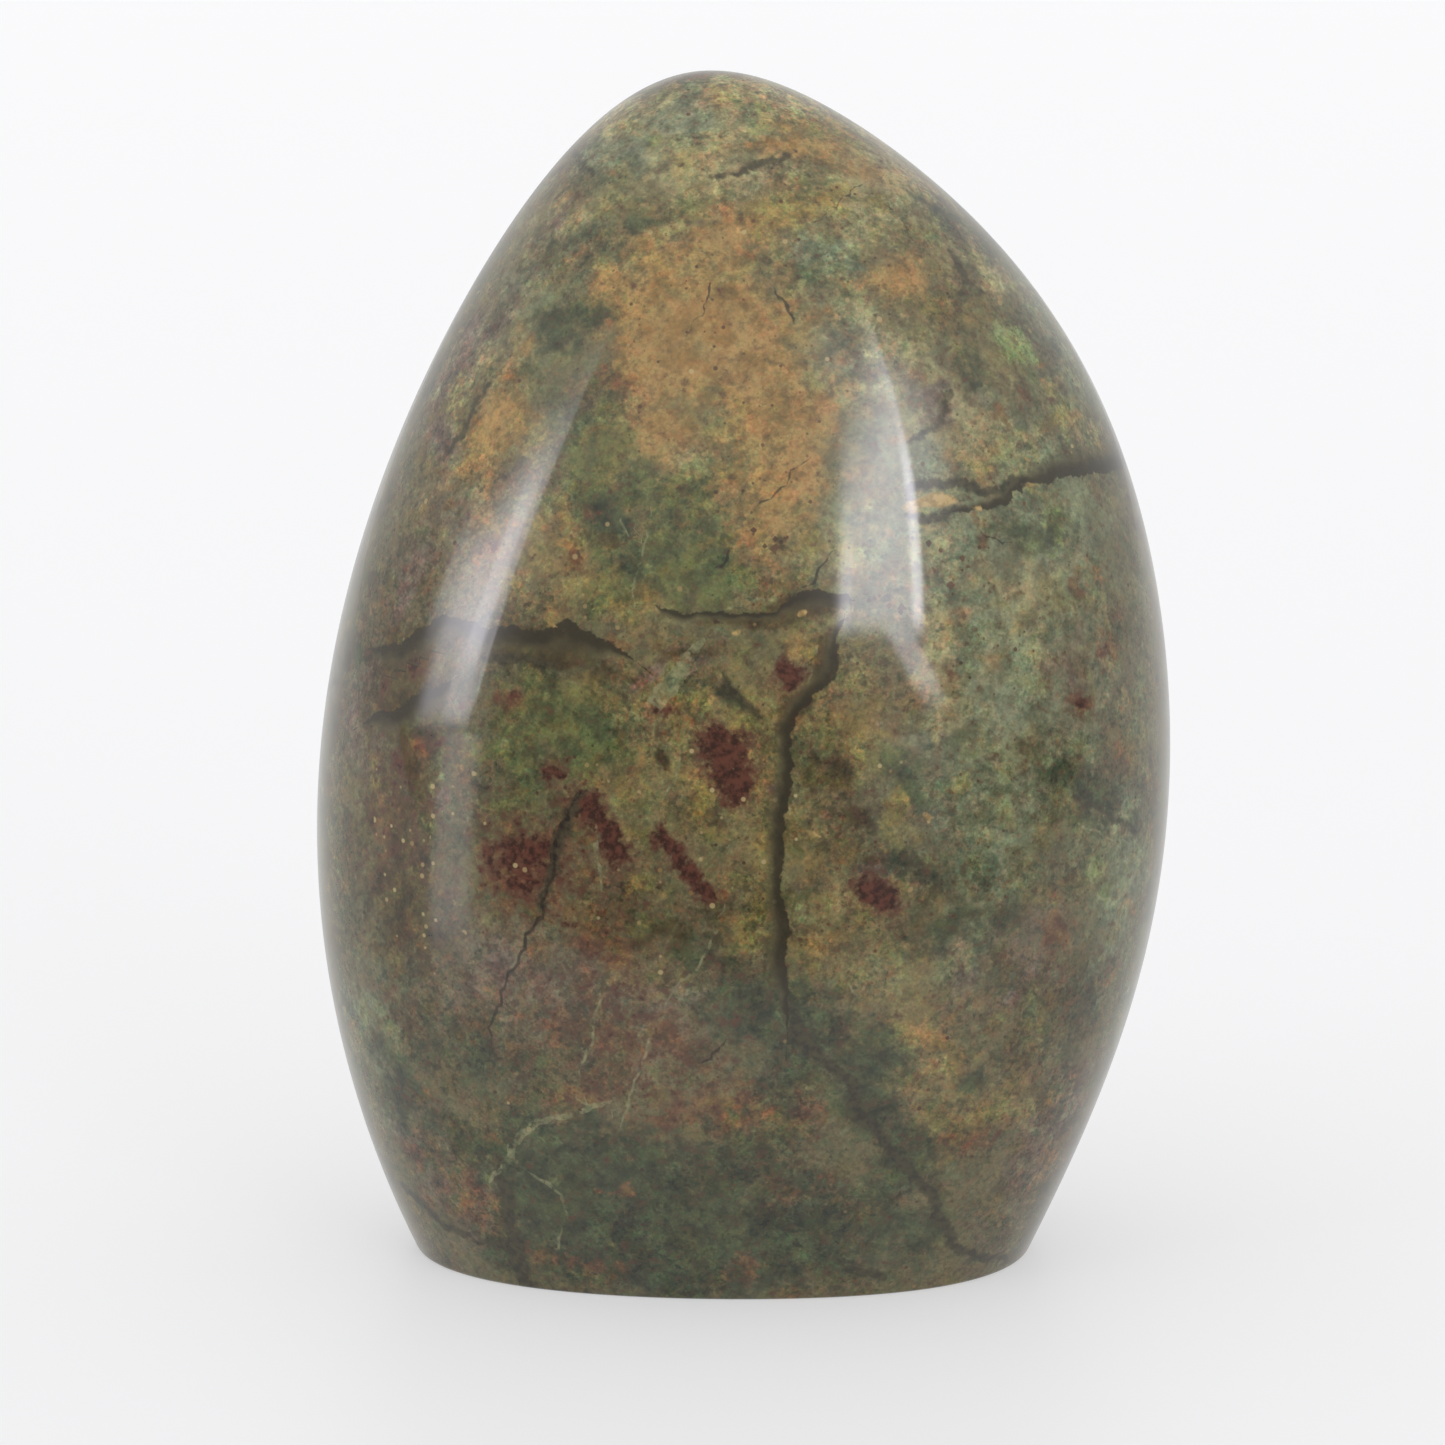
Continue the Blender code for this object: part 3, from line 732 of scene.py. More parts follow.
# %% The lines on the front, family by family
# x, z, half width in mm. For a fissure it is the whole width of the dark filling, which lies
# to the left of somebody who walks the line on the stone.
FRONT_LINES = {
    "fissure": (
        ((4.2, 30, 0.3), (4.4, 33, 1.2), (4.1, 35, 2), (3.9, 36.5, 2.2), (4.2, 38, 2.2),
         (4.3, 39.5, 2.2), (4.1, 41.5, 2.1), (3.8, 43, 2), (3.4, 44.5, 1.5), (3.3, 45.4, 1.6),
         (3.9, 46.5, 2), (3.9, 48, 2.1), (3.9, 49.2, 2.1), (3.7, 50.4, 2.1), (4.2, 51.8, 2.1),
         (4.6, 53.5, 2), (4.5, 55, 1.9), (4.6, 57, 1.9), (4.6, 58.8, 1.9), (4.8, 60.2, 1.8),
         (5.4, 61, 1.8), (6.4, 61.9, 1.8), (7.3, 62.7, 2), (8, 63.2, 2.2), (8.6, 64, 2.3),
         (8.9, 65.2, 2.2), (9, 66.5, 1.8), (9, 67.6, 1.3), (9.2, 68.8, 0.8)),
        ((8.5, 72.1, 2.6), (6.6, 72.2, 2.4), (5.3, 72, 2.2), (4.4, 71.7, 1.8), (3.6, 70.9, 1.4),
         (2.6, 70.1, 1), (1.4, 69.9, 0.8), (0.6, 70.2, 0.8), (-1.5, 70.2, 0.8), (-4, 70.1, 0.8),
         (-6.4, 70.2, 0.9), (-7.4, 70.6, 0.9), (-8.3, 70.6, 0.2)),
        ((-10.8, 65.8, 0.3), (-11.8, 66.6, 1), (-13, 67.3, 2), (-14.5, 68.1, 3), (-15.8, 68.6, 3.4),
         (-16.8, 69.1, 3.6), (-17.6, 68.9, 3.4), (-18.6, 68.6, 3.2), (-19.4, 68.2, 3.2),
         (-20.4, 67.9, 3), (-21.8, 68.2, 3.2), (-23, 68.4, 3.2), (-24.5, 68, 3), (-26.5, 68.4, 2.6),
         (-28.5, 68.9, 2)),
        ((-29, 68.9, 2), (-30.4, 67.9, 3), (-31.6, 67, 3.4), (-33, 65.9, 3.2), (-34.2, 65.4, 2.8),
         (-35.8, 64.7, 1.6)),
        ((-29.4, 62.2, 2), (-30.6, 61.6, 3), (-32.2, 60.5, 3.2), (-33.6, 59.5, 3), (-34.6, 58.9, 2.8),
         (-35.8, 58.6, 2.4), (-37, 57.6, 0.6)),
        ((26, 80.8, 1), (27.2, 81.2, 1.2), (28.2, 81.3, 1.7), (29.4, 81.2, 2.4), (30.5, 81.4, 2.8),
         (32, 81.5, 3.1), (33.5, 81.5, 3.1), (35.5, 81.3, 3), (37.5, 81.1, 2.7), (39, 80.8, 2.4)),
        ((20.5, 79, 0.6), (22, 79.1, 0.9), (23.5, 79.2, 1.3), (25, 79.5, 1.5), (26.3, 80.1, 1.2),
         (27, 80.8, 0.6)),
    ),
    "dark_vein": (
        ((4.6, 31.5, 0.5), (5.3, 28.8, 0.7), (6.8, 26.8, 0.7), (8.8, 25.6, 0.5), (10.4, 24, 0.5),
         (10.8, 21.8, 0.6), (11.8, 19.9, 0.6), (13.4, 18, 0.55), (14.6, 16.4, 0.5), (16.2, 14.2, 0.5),
         (18, 12.2, 0.5), (19, 9.8, 0.55), (19.8, 7.4, 0.5), (21, 5, 0.5), (22.4, 3.5, 0.45),
         (24.5, 2.6, 0.4), (27, 1.2, 0.3)),
        ((-15.2, 53, 0.2), (-16.4, 51.2, 0.5), (-17.5, 49.2, 0.6), (-18, 46.5, 0.5), (-18.8, 43.8, 0.4),
         (-19.5, 41.2, 0.3)),
        ((-25, 65.4, 0.3), (-22.5, 65.3, 0.6), (-20, 65.3, 0.4), (-18, 65, 0.2)),
        ((15.8, 81, 0.4), (17.2, 81.8, 0.6), (19, 81.9, 0.5), (21, 81.6, 0.5), (22.6, 80.9, 0.4),
         (25, 80.9, 0.5), (26.6, 81.6, 0.6)),
        ((15.8, 78.7, 0.4), (17.5, 78.6, 0.5), (19.5, 79, 0.4), (21, 79.3, 0.3)),
        ((-24.2, 13.2, 0.3), (-23.4, 11, 0.8), (-23.2, 8, 0.7), (-22.8, 5, 0.9), (-22.2, 2.5, 0.9),
         (-21.8, 0, 0.9)),
        ((-2.4, 110.5, 0.2), (0, 111, 0.4), (2.5, 111.7, 0.4), (4.8, 112.6, 0.2)),
        ((-34.5, 9, 0.4), (-32, 7.2, 0.5), (-29.5, 5.5, 0.4), (-27, 4.8, 0.3), (-24, 4.5, 0.4)),
        ((9, 4.2, 0.3), (11.5, 3.2, 0.5), (13.8, 2, 0.4)),
        ((-16.8, 112.2, 0.2), (-15.6, 111.2, 0.4), (-14.8, 110.2, 0.2)),
        ((20.2, 103, 0.2), (21, 101.8, 0.4), (21.2, 100.3, 0.4), (23.5, 99.2, 0.2)),
        ((19.8, 90, 0.4), (19.2, 88.2, 0.3), (17.8, 86.8, 0.4), (16, 85.6, 0.2)),
        ((-24.5, 91, 0.2), (-25.8, 88.7, 0.3), (-27, 86.5, 0.4), (-28.5, 84, 0.3)),
        ((32, 51.5, 0.1), (34, 49.8, 0.25), (36.5, 48, 0.3), (39, 46.2, 0.2)),
        ((-2, 64.2, 0.2), (-1, 62.6, 0.5), (0.2, 61.2, 0.4), (1.6, 60.4, 0.2)),
    ),
    "crack": (
        ((-18.6, 43.5, 0.1), (-19.4, 41.5, 0.18), (-20, 39.6, 0.16), (-21.4, 37.2, 0.16),
         (-22.4, 35, 0.16), (-23, 33.2, 0.12), (-23.8, 31.6, 0.16), (-24.4, 29.2, 0.1),
         (-24.8, 26.4, 0.08), (-25.5, 23, 0.04)),
        ((-15.4, 52.8, 0.06), (-16.6, 51.2, 0.14), (-17.7, 49.4, 0.2), (-18.1, 46.6, 0.16),
         (-18.6, 44, 0.12)),
        ((3.1, 100.2, 0.04), (3.5, 99, 0.14), (4.2, 97.9, 0.14), (5, 96.8, 0.04)),
        ((-3.2, 100.3, 0.12), (-3.8, 99, 0.06), (-4.1, 97.6, 0.04), (-5.5, 95.8, 0.02)),
        ((6.3, 84.4, 0.04), (4.8, 83.2, 0.07), (3.3, 81.7, 0.06), (1.3, 79.8, 0.04)),
        ((-1.5, 76, 0.1), (-2, 75, 0.15), (-2.7, 74.2, 0.05)),
        ((13.8, 110.2, 0), (11.5, 109.3, 0.03), (9.6, 108.6, 0.06), (8.8, 107.4, 0.04),
         (7, 106.2, 0.03)),
        ((-25.8, 52.8, 0.05), (-25, 53, 0.15), (-24.2, 53.4, 0.05)),
        ((-4.4, 26.3, 0.04), (-3.3, 26.6, 0.16), (-2.5, 27.2, 0.12), (-1.6, 28.6, 0.04)),
        ((8.4, 75.4, 0.05), (7.2, 74.4, 0.1), (6.5, 73.2, 0.1), (5.6, 72.4, 0.08)),
        ((25.6, 76.2, 0.03), (24, 76.3, 0.06), (22.6, 76.9, 0.03)),
    ),
    "pale_vein": (
        ((-12.6, 21.9, 0.14), (-15, 20.9, 0.28), (-17.2, 20.2, 0.3), (-19, 19.4, 0.3),
         (-20.6, 18.9, 0.32), (-21.7, 17.7, 0.36), (-22.6, 16.2, 0.4), (-23, 14.9, 0.34),
         (-24, 13.5, 0.3), (-25, 12, 0.15)),
        ((-21, 13.2, 0.1), (-19.2, 12.4, 0.2), (-17.9, 11.4, 0.2), (-17.5, 9.2, 0.12), (-18, 6.8, 0.1),
         (-18.7, 4.9, 0.12)),
        ((-1.6, 42.5, 0.04), (-2.2, 41, 0.1), (-3, 39.4, 0.14), (-3.5, 37.4, 0.12), (-4.6, 35.6, 0.12),
         (-6.1, 34.6, 0.1), (-7.3, 32.4, 0.1), (-8.4, 29.6, 0.14), (-9.5, 27, 0.12), (-10.4, 24.2, 0.1),
         (-11.4, 21.2, 0.12), (-12, 19.4, 0.06)),
        ((-13.8, 33.4, 0.08), (-14.3, 30, 0.14), (-15, 27.4, 0.14), (-15.9, 24.7, 0.1),
         (-16.5, 22, 0.06)),
        ((-9, 79.6, 0.06), (-9, 77.8, 0.12), (-9.7, 76, 0.1), (-10.3, 73.4, 0.1), (-10.6, 70.6, 0.06)),
        ((-11.7, 78.8, 0.14), (-11, 77.2, 0.08)),
        ((-9, 61.8, 0.2), (-7.4, 63.6, 0.5), (-5.6, 65.6, 0.6), (-4, 67.4, 0.3)),
        ((-8.2, 61, 0.1), (-6.6, 62.8, 0.3), (-4.6, 64.6, 0.2)),
        ((-5.8, 57.5, 0.05), (-6.4, 55.4, 0.12), (-7, 53.6, 0.1), (-8.2, 51.4, 0.05)),
        ((-14.4, 49.8, 0.08), (-14.3, 48.2, 0.3), (-14, 46.6, 0.16), (-13.8, 43.5, 0.1)),
        ((31.6, 49.8, 0.06), (33.2, 47.8, 0.1), (35, 46.8, 0.1), (38, 45.2, 0.06)),
        ((10, 34.2, 0.06), (10.6, 33.2, 0.12), (11.2, 32.4, 0.08)),
        ((34.2, 45.2, 0.15), (33.6, 43, 0.2), (34.6, 40.8, 0.2), (36, 39.9, 0.12)),
        ((6.9, 68.2, 0.06), (6.7, 66.6, 0.16), (6.5, 64.8, 0.12), (6.1, 63.4, 0.06)),
        ((-29.5, 75.2, 0.06), (-30.8, 75.7, 0.14), (-31.2, 76, 0.06)),
    ),
    "cream": (
        ((15.9, 80, 0.2), (16.8, 80.1, 0.45), (18, 80.3, 0.75), (19.2, 80.3, 0.7), (20, 80.2, 0.35)),
        ((22.2, 79.4, 0.2), (22.5, 79.35, 0.22)),
        ((15.4, 79.6, 0.2), (16.2, 79.4, 0.3)),
        ((5.3, 70, 0.25), (5.6, 70.1, 0.25)),
        ((-0.4, 68.4, 0.15), (-1, 68.3, 0.2)),
        ((6.4, 49.2, 0.2), (6.8, 49, 0.25)),
        ((17.2, 50.6, 0.15), (17.8, 50.3, 0.25)),
        ((-18.6, 68.8, 0.2), (-18.2, 68.6, 0.2)),
        ((3.8, 77.4, 0.12), (3.9, 77.4, 0.12)),
        ((27, 83.8, 0.1), (27.3, 83.6, 0.12)),
    ),
}
print("the front has", sum(map(len, FRONT_LINES.values())), "lines")

# %% The lines around the stone
# turn in degrees, z, half width in mm
OTHER_LINES = {
    "fissure": (
        ((88, 80.9, 1.9), (96, 79.5, 1.6), (108, 81, 1.2), (120, 78.5, 1.5), (133, 80, 1),
         (146, 75, 1.8), (153, 69, 2), (155, 63, 1.5), (163, 56, 2), (162, 49, 1.6), (170, 42, 2),
         (167, 35, 1.4), (174, 28, 1), (172, 21, 0.3)),
        ((163, 57, 0.6), (172, 60, 1.2), (182, 59, 1), (194, 55, 1.4), (203, 56, 0.8), (212, 52, 0.2)),
        ((285, 60.5, 0.8), (272, 58, 1.3), (262, 59, 1), (250, 54, 1.6), (240, 56, 0.8),
         (231, 51, 0.2)),
        ((222, 100, 0.2), (214, 95, 1), (216, 90, 1.4), (208, 84, 0.8), (209, 78, 0.2)),
    ),
    "dark_vein": (
        ((172, 24, 0.4), (178, 17, 0.5), (175, 10, 0.5), (184, 4, 0.5), (188, 0, 0.5)),
        ((128, 100, 0.3), (138, 96, 0.5), (150, 97, 0.4)),
        ((240, 86, 0.4), (247, 79, 0.5), (251, 72, 0.3)),
        ((96, 46, 0.3), (103, 40, 0.6), (112, 37, 0.5), (122, 30, 0.3)),
        ((262, 20, 0.3), (252, 13, 0.5), (247, 4, 0.5)),
        ((118, 24, 0.2), (112, 17, 0.6), (114, 10, 0.7), (108, 4, 0.7), (106, 0, 0.7)),
    ),
    "crack": (
        ((178, 108, 0.04), (172, 101, 0.14), (175, 94, 0.1), (168, 88, 0.04)),
        ((204, 70, 0.04), (211, 64, 0.15), (209, 57, 0.08)),
        ((136, 62, 0.04), (131, 55, 0.18), (134, 47, 0.15), (127, 40, 0.04)),
        ((232, 40, 0.08), (225, 34, 0.15), (227, 26, 0.1), (219, 20, 0.04)),
        ((98, 70, 0.04), (104, 64, 0.12), (102, 57, 0.08)),
        ((262, 80, 0.04), (268, 74, 0.15), (264, 66, 0.08)),
    ),
    "pale_vein": (
        ((150, 52, 0.08), (144, 42, 0.16), (147, 33, 0.16), (139, 24, 0.12), (141, 14, 0.08)),
        ((186, 86, 0.08), (180, 80, 0.16), (183, 72, 0.08)),
        ((196, 48, 0.08), (202, 36, 0.18), (198, 26, 0.18), (206, 14, 0.08)),
        ((244, 68, 0.04), (238, 60, 0.16), (241, 50, 0.08)),
        ((116, 74, 0.04), (110, 66, 0.16), (113, 56, 0.08)),
        ((264, 50, 0.08), (256, 38, 0.18), (259, 26, 0.08)),
    ),
    "cream": (
        ((152, 71, 0.2), (154, 70.6, 0.5), (156, 70.4, 0.3)),
        ((199, 58, 0.2), (200, 57.8, 0.3)),
        ((236, 41, 0.25), (237, 40.6, 0.3)),
        ((120, 88, 0.2), (121, 87.8, 0.25)),
        ((172, 32, 0.25), (173, 31.6, 0.25)),
    ),
}
print("the other sides have", sum(map(len, OTHER_LINES.values())), "lines")

# %% Measure the skin's distance from the lines
SAMPLE_EVERY = 0.3
FEWEST_SAMPLES = 3
FAR_AWAY = 4.0
CLEAR = 1.0  # beyond the half width and this, a line doesn't matter any more
SWAYS = ((0.14, 5.3), (0.11, 2.1), (0.06, 0.8))  # height and length of three waves, in mm
WANDER = {"fissure": 0.9, "dark_vein": 1.4, "crack": 1.5, "pale_vein": 1.0, "cream": 0.0}
wobble = np.random.default_rng(17)


def track(knots, on_front, wander):
    """Points, unit tangents, unit side vectors and half widths along one line.

    The line runs straight from knot to knot, then wanders from side to side by the sum of the
    three waves in SWAYS, as a crack does that steps from grain to grain.
    """
    first, z, half = np.array(knots, float).T
    nodes, _, _ = where(first, z, on_front)
    runs = np.concatenate([[0], np.cumsum(np.linalg.norm(np.diff(nodes, axis=0), axis=1))])
    steps = np.linspace(0, runs[-1], max(FEWEST_SAMPLES, int(runs[-1] / SAMPLE_EVERY)))
    places_along = [np.interp(steps, runs, values) for values in (first, z)]
    middle, across, up = where(*places_along, on_front)
    tangent = np.gradient(middle, axis=0)
    tangent /= np.linalg.norm(tangent, axis=1, keepdims=True)
    side = np.cross(np.cross(across, up), tangent)
    width = np.interp(steps, runs, half)
    sway = sum(
        wander * size * np.sin(2 * np.pi * (steps / length + wobble.random()))
        for size, length in SWAYS
    )
    return middle + side * sway[:, None], tangent, side, width


def measure(lines, front_count, wander, one_sided):
    """For each point of the skin: how far beside the nearest line it lies, and the half width.

    The first front_count lines are given on the front. Past an end of a line the half width
    shrinks by the way past it, and far from every line it is negative. A one-sided line counts
    for less on its empty side, so that the next one may lie close by.
    """
    gap = np.full(len(places), FAR_AWAY)
    away = np.full(len(places), FAR_AWAY)
    half = np.full(len(places), -1.0)
    for number, knots in enumerate(lines):
        points, tangent, side, width = track(knots, number < front_count, wander)
        low, high = points.min(0) - FAR_AWAY, points.max(0) + FAR_AWAY
        close = np.flatnonzero(np.all((places > low) & (places < high), axis=1))
        offset = places[close, None, :] - points[None, :, :]
        nearest = np.argmin(np.sum(offset**2, axis=2), axis=1)
        offset = offset[np.arange(len(close)), nearest]
        past = np.abs(np.sum(offset * tangent[nearest], axis=1)) - SAMPLE_EVERY
        distance = np.linalg.norm(offset, axis=1)
        nearer = distance < gap[close]
        chosen = close[nearer]
        gap[chosen] = distance[nearer]
        away[chosen] = np.sum(offset * side[nearest], axis=1)[nearer]
        half[chosen] = (width[nearest] - np.maximum(past, 0))[nearer]
    reach = np.where(one_sided & (away < 0), 0, half) + CLEAR
    return away, np.where(gap < reach, half, -1.0)


for family, front_lines in FRONT_LINES.items():
    lines = front_lines + OTHER_LINES[family]
    away, half = measure(lines, len(front_lines), WANDER[family], family == "fissure")
    keep(family + "_side", away)
    keep(family + "_half", half)
    print(family, "has", len(lines), "lines")

# %% [markdown]
# ## The noises under the polish
# Chalcedony is quartz in threads too fine to see, and other minerals cloud it in lumps of every
# size. The colour is painted by a shader, because it stays sharp from any distance. A noise
# in the shader has the ragged lumps of real rock, from large ones down to dust, and every
# layer below borrows its edges from one of these.

# %% Noises that the layers share
NOISE_TURN = (0.6, 0.5)  # radians about X and about Z

chrysoprase = bpy.data.materials.new("polished_chrysoprase")
chrysoprase.use_nodes = True
rock = chrysoprase.node_tree
body = rock.nodes["Principled BSDF"]
spot = add(rock, "TexCoord", {}, {}).outputs["Object"]


def noise(size, detail, rough, warp, stretch=(1, 1, 1), lean=20.0):
    """Three unlike noises, from 0 to 1 each, whose largest lumps measure size in mm.

    A noise is made on a grid of its own, so it is turned to keep that grid out of line with
    the stone. Stretched, its lumps grow longer along a line that leans to the right.
    """
    laid = add(
        rock, "Mapping", {"vector_type": "TEXTURE"},
        {0: spot, "Location": (size, -size, size / 2),
         "Rotation": (NOISE_TURN[0], np.radians(lean), NOISE_TURN[1]), "Scale": stretch},
    )
    lumpy = add(
        rock, "TexNoise", {},
        {"Vector": laid.outputs[0], "Scale": 1 / (size * MM), "Detail": detail,
         "Roughness": rough, "Distortion": warp},
    )
    return add(rock, "SeparateColor", {}, {0: lumpy.outputs["Color"]}).outputs


# size of the largest lumps in mm, levels of detail, roughness, warp
broad = noise(8.0, 5.0, 0.6, 0.3)
clouds = noise(4.5, 5.0, 0.62, 0.3)
puffs = noise(3.6, 5.0, 0.62, 0.3)
streaks = noise(2.0, 5.0, 0.6, 0.2, stretch=(1, 1, 2.5), lean=35.0)
lumps = noise(2.2, 4.0, 0.6, 0.2)
bits = noise(1.5, 4.0, 0.6, 0.2)
grain = noise(0.75, 2.0, 0.6, 0.0)
dust = noise(0.32, 1.0, 0.6, 0.0)
print("the noises take", len(rock.nodes), "nodes")

# %% [markdown]
# ## The mineral layers
# The minerals grew one over the other, so the shader lays them one over the other too: first
# the clay that carries them all, then each mineral where its field on the mesh says. The noise
# is added to the field before the edge is cut, because that tears the edge into lumps and
# islands the way rock does, which no brush stroke has.

# %% Lay the minerals over the clay


def lay(under, over, value, low, high, most=1.0, blend="MIX"):
    """Lays one colour over another where value goes from low to high.

    The amount is a soft step, 0 at low and most at high, and high may be the smaller one.
    """
    span = {"Value": value, "From Min": low, "From Max": high, "To Max": most}
    amount = add(rock, "MapRange", SOFT_STEP, span).outputs[0]
    kind = {"data_type": "RGBA", "blend_type": blend}
    return add(rock, "Mix", kind, {0: amount, 6: under, 7: over}).outputs[2]


TINT_SWING = (0.36, 0.64)  # values of a noise where a mineral is all dark, and all light
CLAY = ("#524832", "#656045")
# For each cloud in the clay: tint, noise, its values where the tint begins and is full, how
# much it covers.
CLAY_CLOUDS = (("#464e37", clouds[1], 0.52, 0.62, 0.8), ("#685947", clouds[2], 0.55, 0.65, 0.5))
# For each mineral: darker and lighter tint, the noise that frays it, how strongly, the
# field's value at its edge, softness of the edge, how much it covers.
LAYERS = {
    "tan_clay": ("#6c6142", "#897a4e", broad[1], 1.9, 0.42, 0.32, 0.9),
    "grey_clay": ("#5b6049", "#7b7d63", broad[2], 1.9, 0.42, 0.32, 0.9),
    "mauve_clay": ("#5c4f41", "#76695a", clouds[0], 1.9, 0.42, 0.32, 0.85),
    # pale clay, partly a painted veil of mirrored light near the top and beside the highlights
    "pale_clay_and_painted_veil": ("#837857", "#a39971", puffs[2], 1.9, 0.45, 0.30, 0.85),
    "grey_green": ("#676e57", "#888d71", puffs[0], 2.1, 0.45, 0.28, 0.85),
    "ochre": ("#896c3d", "#a58453", clouds[1], 2.0, 0.42, 0.28, 0.9),
    "olive_gold": ("#776b3d", "#938452", puffs[1], 2.0, 0.45, 0.26, 0.8),
    "moss": ("#484e31", "#65683f", clouds[2], 2.2, 0.45, 0.25, 0.9),
    "bright_green": ("#637048", "#879060", bits[0], 1.6, 0.45, 0.24, 0.9),
    "mauve": ("#54443b", "#7a695e", streaks[0], 2.2, 0.48, 0.24, 0.8),
    "dark_green": ("#2e3527", "#464e36", puffs[2], 2.2, 0.45, 0.25, 0.9),
    "umber": ("#362d18", "#56492c", lumps[0], 1.6, 0.45, 0.25, 0.9),
    "rust": ("#54392a", "#755739", bits[1], 2.2, 0.50, 0.20, 0.8),
}

colour = lay(linear(CLAY[0]), linear(CLAY[1]), broad[0], *TINT_SWING)
for tint, *amount in CLAY_CLOUDS:
    colour = lay(colour, linear(tint), *amount)
for mineral, (dark, light, fray, strength, edge, soft, opacity) in LAYERS.items():
    field = add(rock, "Attribute", {"attribute_name": mineral}, {}).outputs["Fac"]
    frayed = add(rock, "Math", TIMES_PLUS, {0: fray, 1: strength, 2: field}).outputs[0]
    middle = strength / 2 + edge
    tint = lay(linear(dark), linear(light), lumps[1], *TINT_SWING)
    colour = lay(colour, tint, frayed, middle - soft, middle + soft, opacity)
print("the clay carries", len(LAYERS), "minerals")

# %% [markdown]
# ## The mottling
# Seen closer, each mineral is a felt of tiny crystals, some dark, some pale. A polished face is
# never evenly busy: the texture is strong in some places and calm in others, calmest in the
# ochre and the grey clay. Each mottle multiplies the colour under it instead of covering it,
# because that lets the mineral show through.

# %% Mottle the colour
QUIETEST = 0.5  # share of the mottling that is left where the broad noise is high
QUIET_RANGE = (0.64, 0.42)  # values of the broad noise where the texture is calm, and strong
HUSHED = {"ochre": -0.55, "grey_clay": -0.30}  # change of the mottling's share on a mineral
# For each: noise, where it begins to show, softness (a negative one shows the low side of the
# noise), tint as a share of the colour under it.
MOTTLES = (
    (broad[2], 0.52, 0.10, (1.03, 1.01, 0.86)),
    (clouds[0], 0.55, 0.08, (0.92, 1.02, 0.96)),
    (clouds[1], 0.55, 0.08, (1.05, 0.97, 0.98)),
    (puffs[1], 0.55, 0.07, (1.05, 0.98, 0.80)),
    (puffs[0], 0.57, 0.05, (0.62, 0.67, 0.64)),
    (puffs[2], 0.56, 0.06, (1.16, 1.15, 1.10)),
    (lumps[2], 0.57, 0.06, (1.12, 0.92, 0.90)),
    (lumps[1], 0.56, 0.06, (0.90, 1.01, 0.88)),
    (bits[2], 0.56, 0.06, (0.78, 0.92, 0.87)),
    (bits[0], 0.59, 0.05, (1.28, 1.29, 1.26)),
    (bits[1], 0.60, 0.05, (1.20, 1.32, 1.34)),
    (lumps[0], 0.38, -0.03, (0.62, 0.69, 0.68)),
    (bits[0], 0.34, -0.02, (0.50, 0.52, 0.52)),
    (bits[1], 0.34, -0.02, (1.22, 0.94, 0.74)),
    (bits[2], 0.34, -0.02, (0.94, 0.68, 0.66)),
    (grain[0], 0.55, 0.09, (1.15, 0.92, 0.95)),
    (grain[1], 0.55, 0.09, (0.79, 0.93, 0.89)),
    (grain[2], 0.57, 0.08, (0.55, 0.60, 0.63)),
    (dust[0], 0.55, 0.10, (1.13, 0.97, 0.99)),
    (dust[1], 0.55, 0.10, (0.81, 0.92, 0.90)),
    (dust[2], 0.54, 0.10, (1.34, 1.35, 1.36)),
)
quiet = 1.0
for mineral, hush in HUSHED.items():
    field = add(rock, "Attribute", {"attribute_name": mineral}, {}).outputs["Fac"]
    quiet = add(rock, "Math", TIMES_PLUS, {0: field, 1: hush, 2: quiet}).outputs[0]
calm = add(
    rock, "MapRange", SOFT_STEP,
    {"Value": broad[0], "From Min": QUIET_RANGE[0], "From Max": QUIET_RANGE[1], "To Min": QUIETEST},
).outputs[0]
busy = add(rock, "Math", {"operation": "MULTIPLY"}, {0: calm, 1: quiet}).outputs[0]
for texture, edge, soft, share in MOTTLES:
    colour = lay(colour, (*share, 1.0), texture, edge - soft, edge + soft, busy, "MULTIPLY")
print("the colour is mottled", len(MOTTLES), "times over")

# %% [markdown]
# ## The haematite
# The brick-red patches are haematite, which is iron oxide. They lie over the other minerals
# and are the darkest of them. Each is grainy inside and has stained the stone around it
# brown. The stain is the same patch cut at a lower edge, so that it always surrounds it.

# %% Lay the haematite and its stain
STAIN_TINT = "#5f4031"
STAIN = (1.36, 1.90, 0.7)  # where the stain begins and is full, and how much it covers
HAEMATITE = ("#2f1810", "#5c3426")
PATCH = (1.62, 2.10, 0.93)  # the same as the stain's, for the haematite itself
GRAIN_SWING = (0.38, 0.66)  # values of a noise where it is all dark, and all light
RAGGED = 1.4  # how strongly lumps of 1.5 mm fray it
GRAINY = 1.3  # how strongly grains of 0.75 mm do
field = add(rock, "Attribute", {"attribute_name": "brick"}, {}).outputs["Fac"]
ragged = add(rock, "Math", TIMES_PLUS, {0: bits[2], 1: RAGGED, 2: field}).outputs[0]
frayed = add(rock, "Math", TIMES_PLUS, {0: grain[1], 1: GRAINY, 2: ragged}).outputs[0]
colour = lay(colour, linear(STAIN_TINT), frayed, *STAIN)
haematite = lay(linear(HAEMATITE[0]), linear(HAEMATITE[1]), grain[2], *GRAIN_SWING)
colour = lay(colour, haematite, frayed, *PATCH)
print("the stain reaches", round(PATCH[0] - STAIN[0], 2), "further out in the field")

# %% [markdown]
# ## The flecks
# Brown specks fill tiny round holes everywhere alike. Cream crumbs of clay and dark pits of
# iron fill a few everywhere and many in some places, and dark splinters only fill some places.
# A pattern of cells scatters them, because every cell has one middle, the distance from it
# and a few chances of its own: whether its hole is filled, how large it is and which tint it
# has. Distance measured along the axes instead of straight makes splinters of round holes.

# %% Scatter the flecks
HOLE_EDGE = 0.06  # softness of a hole's edge, as a share of the spacing
CHANCE_EDGE = 0.01  # so narrow that hardly a hole is half filled
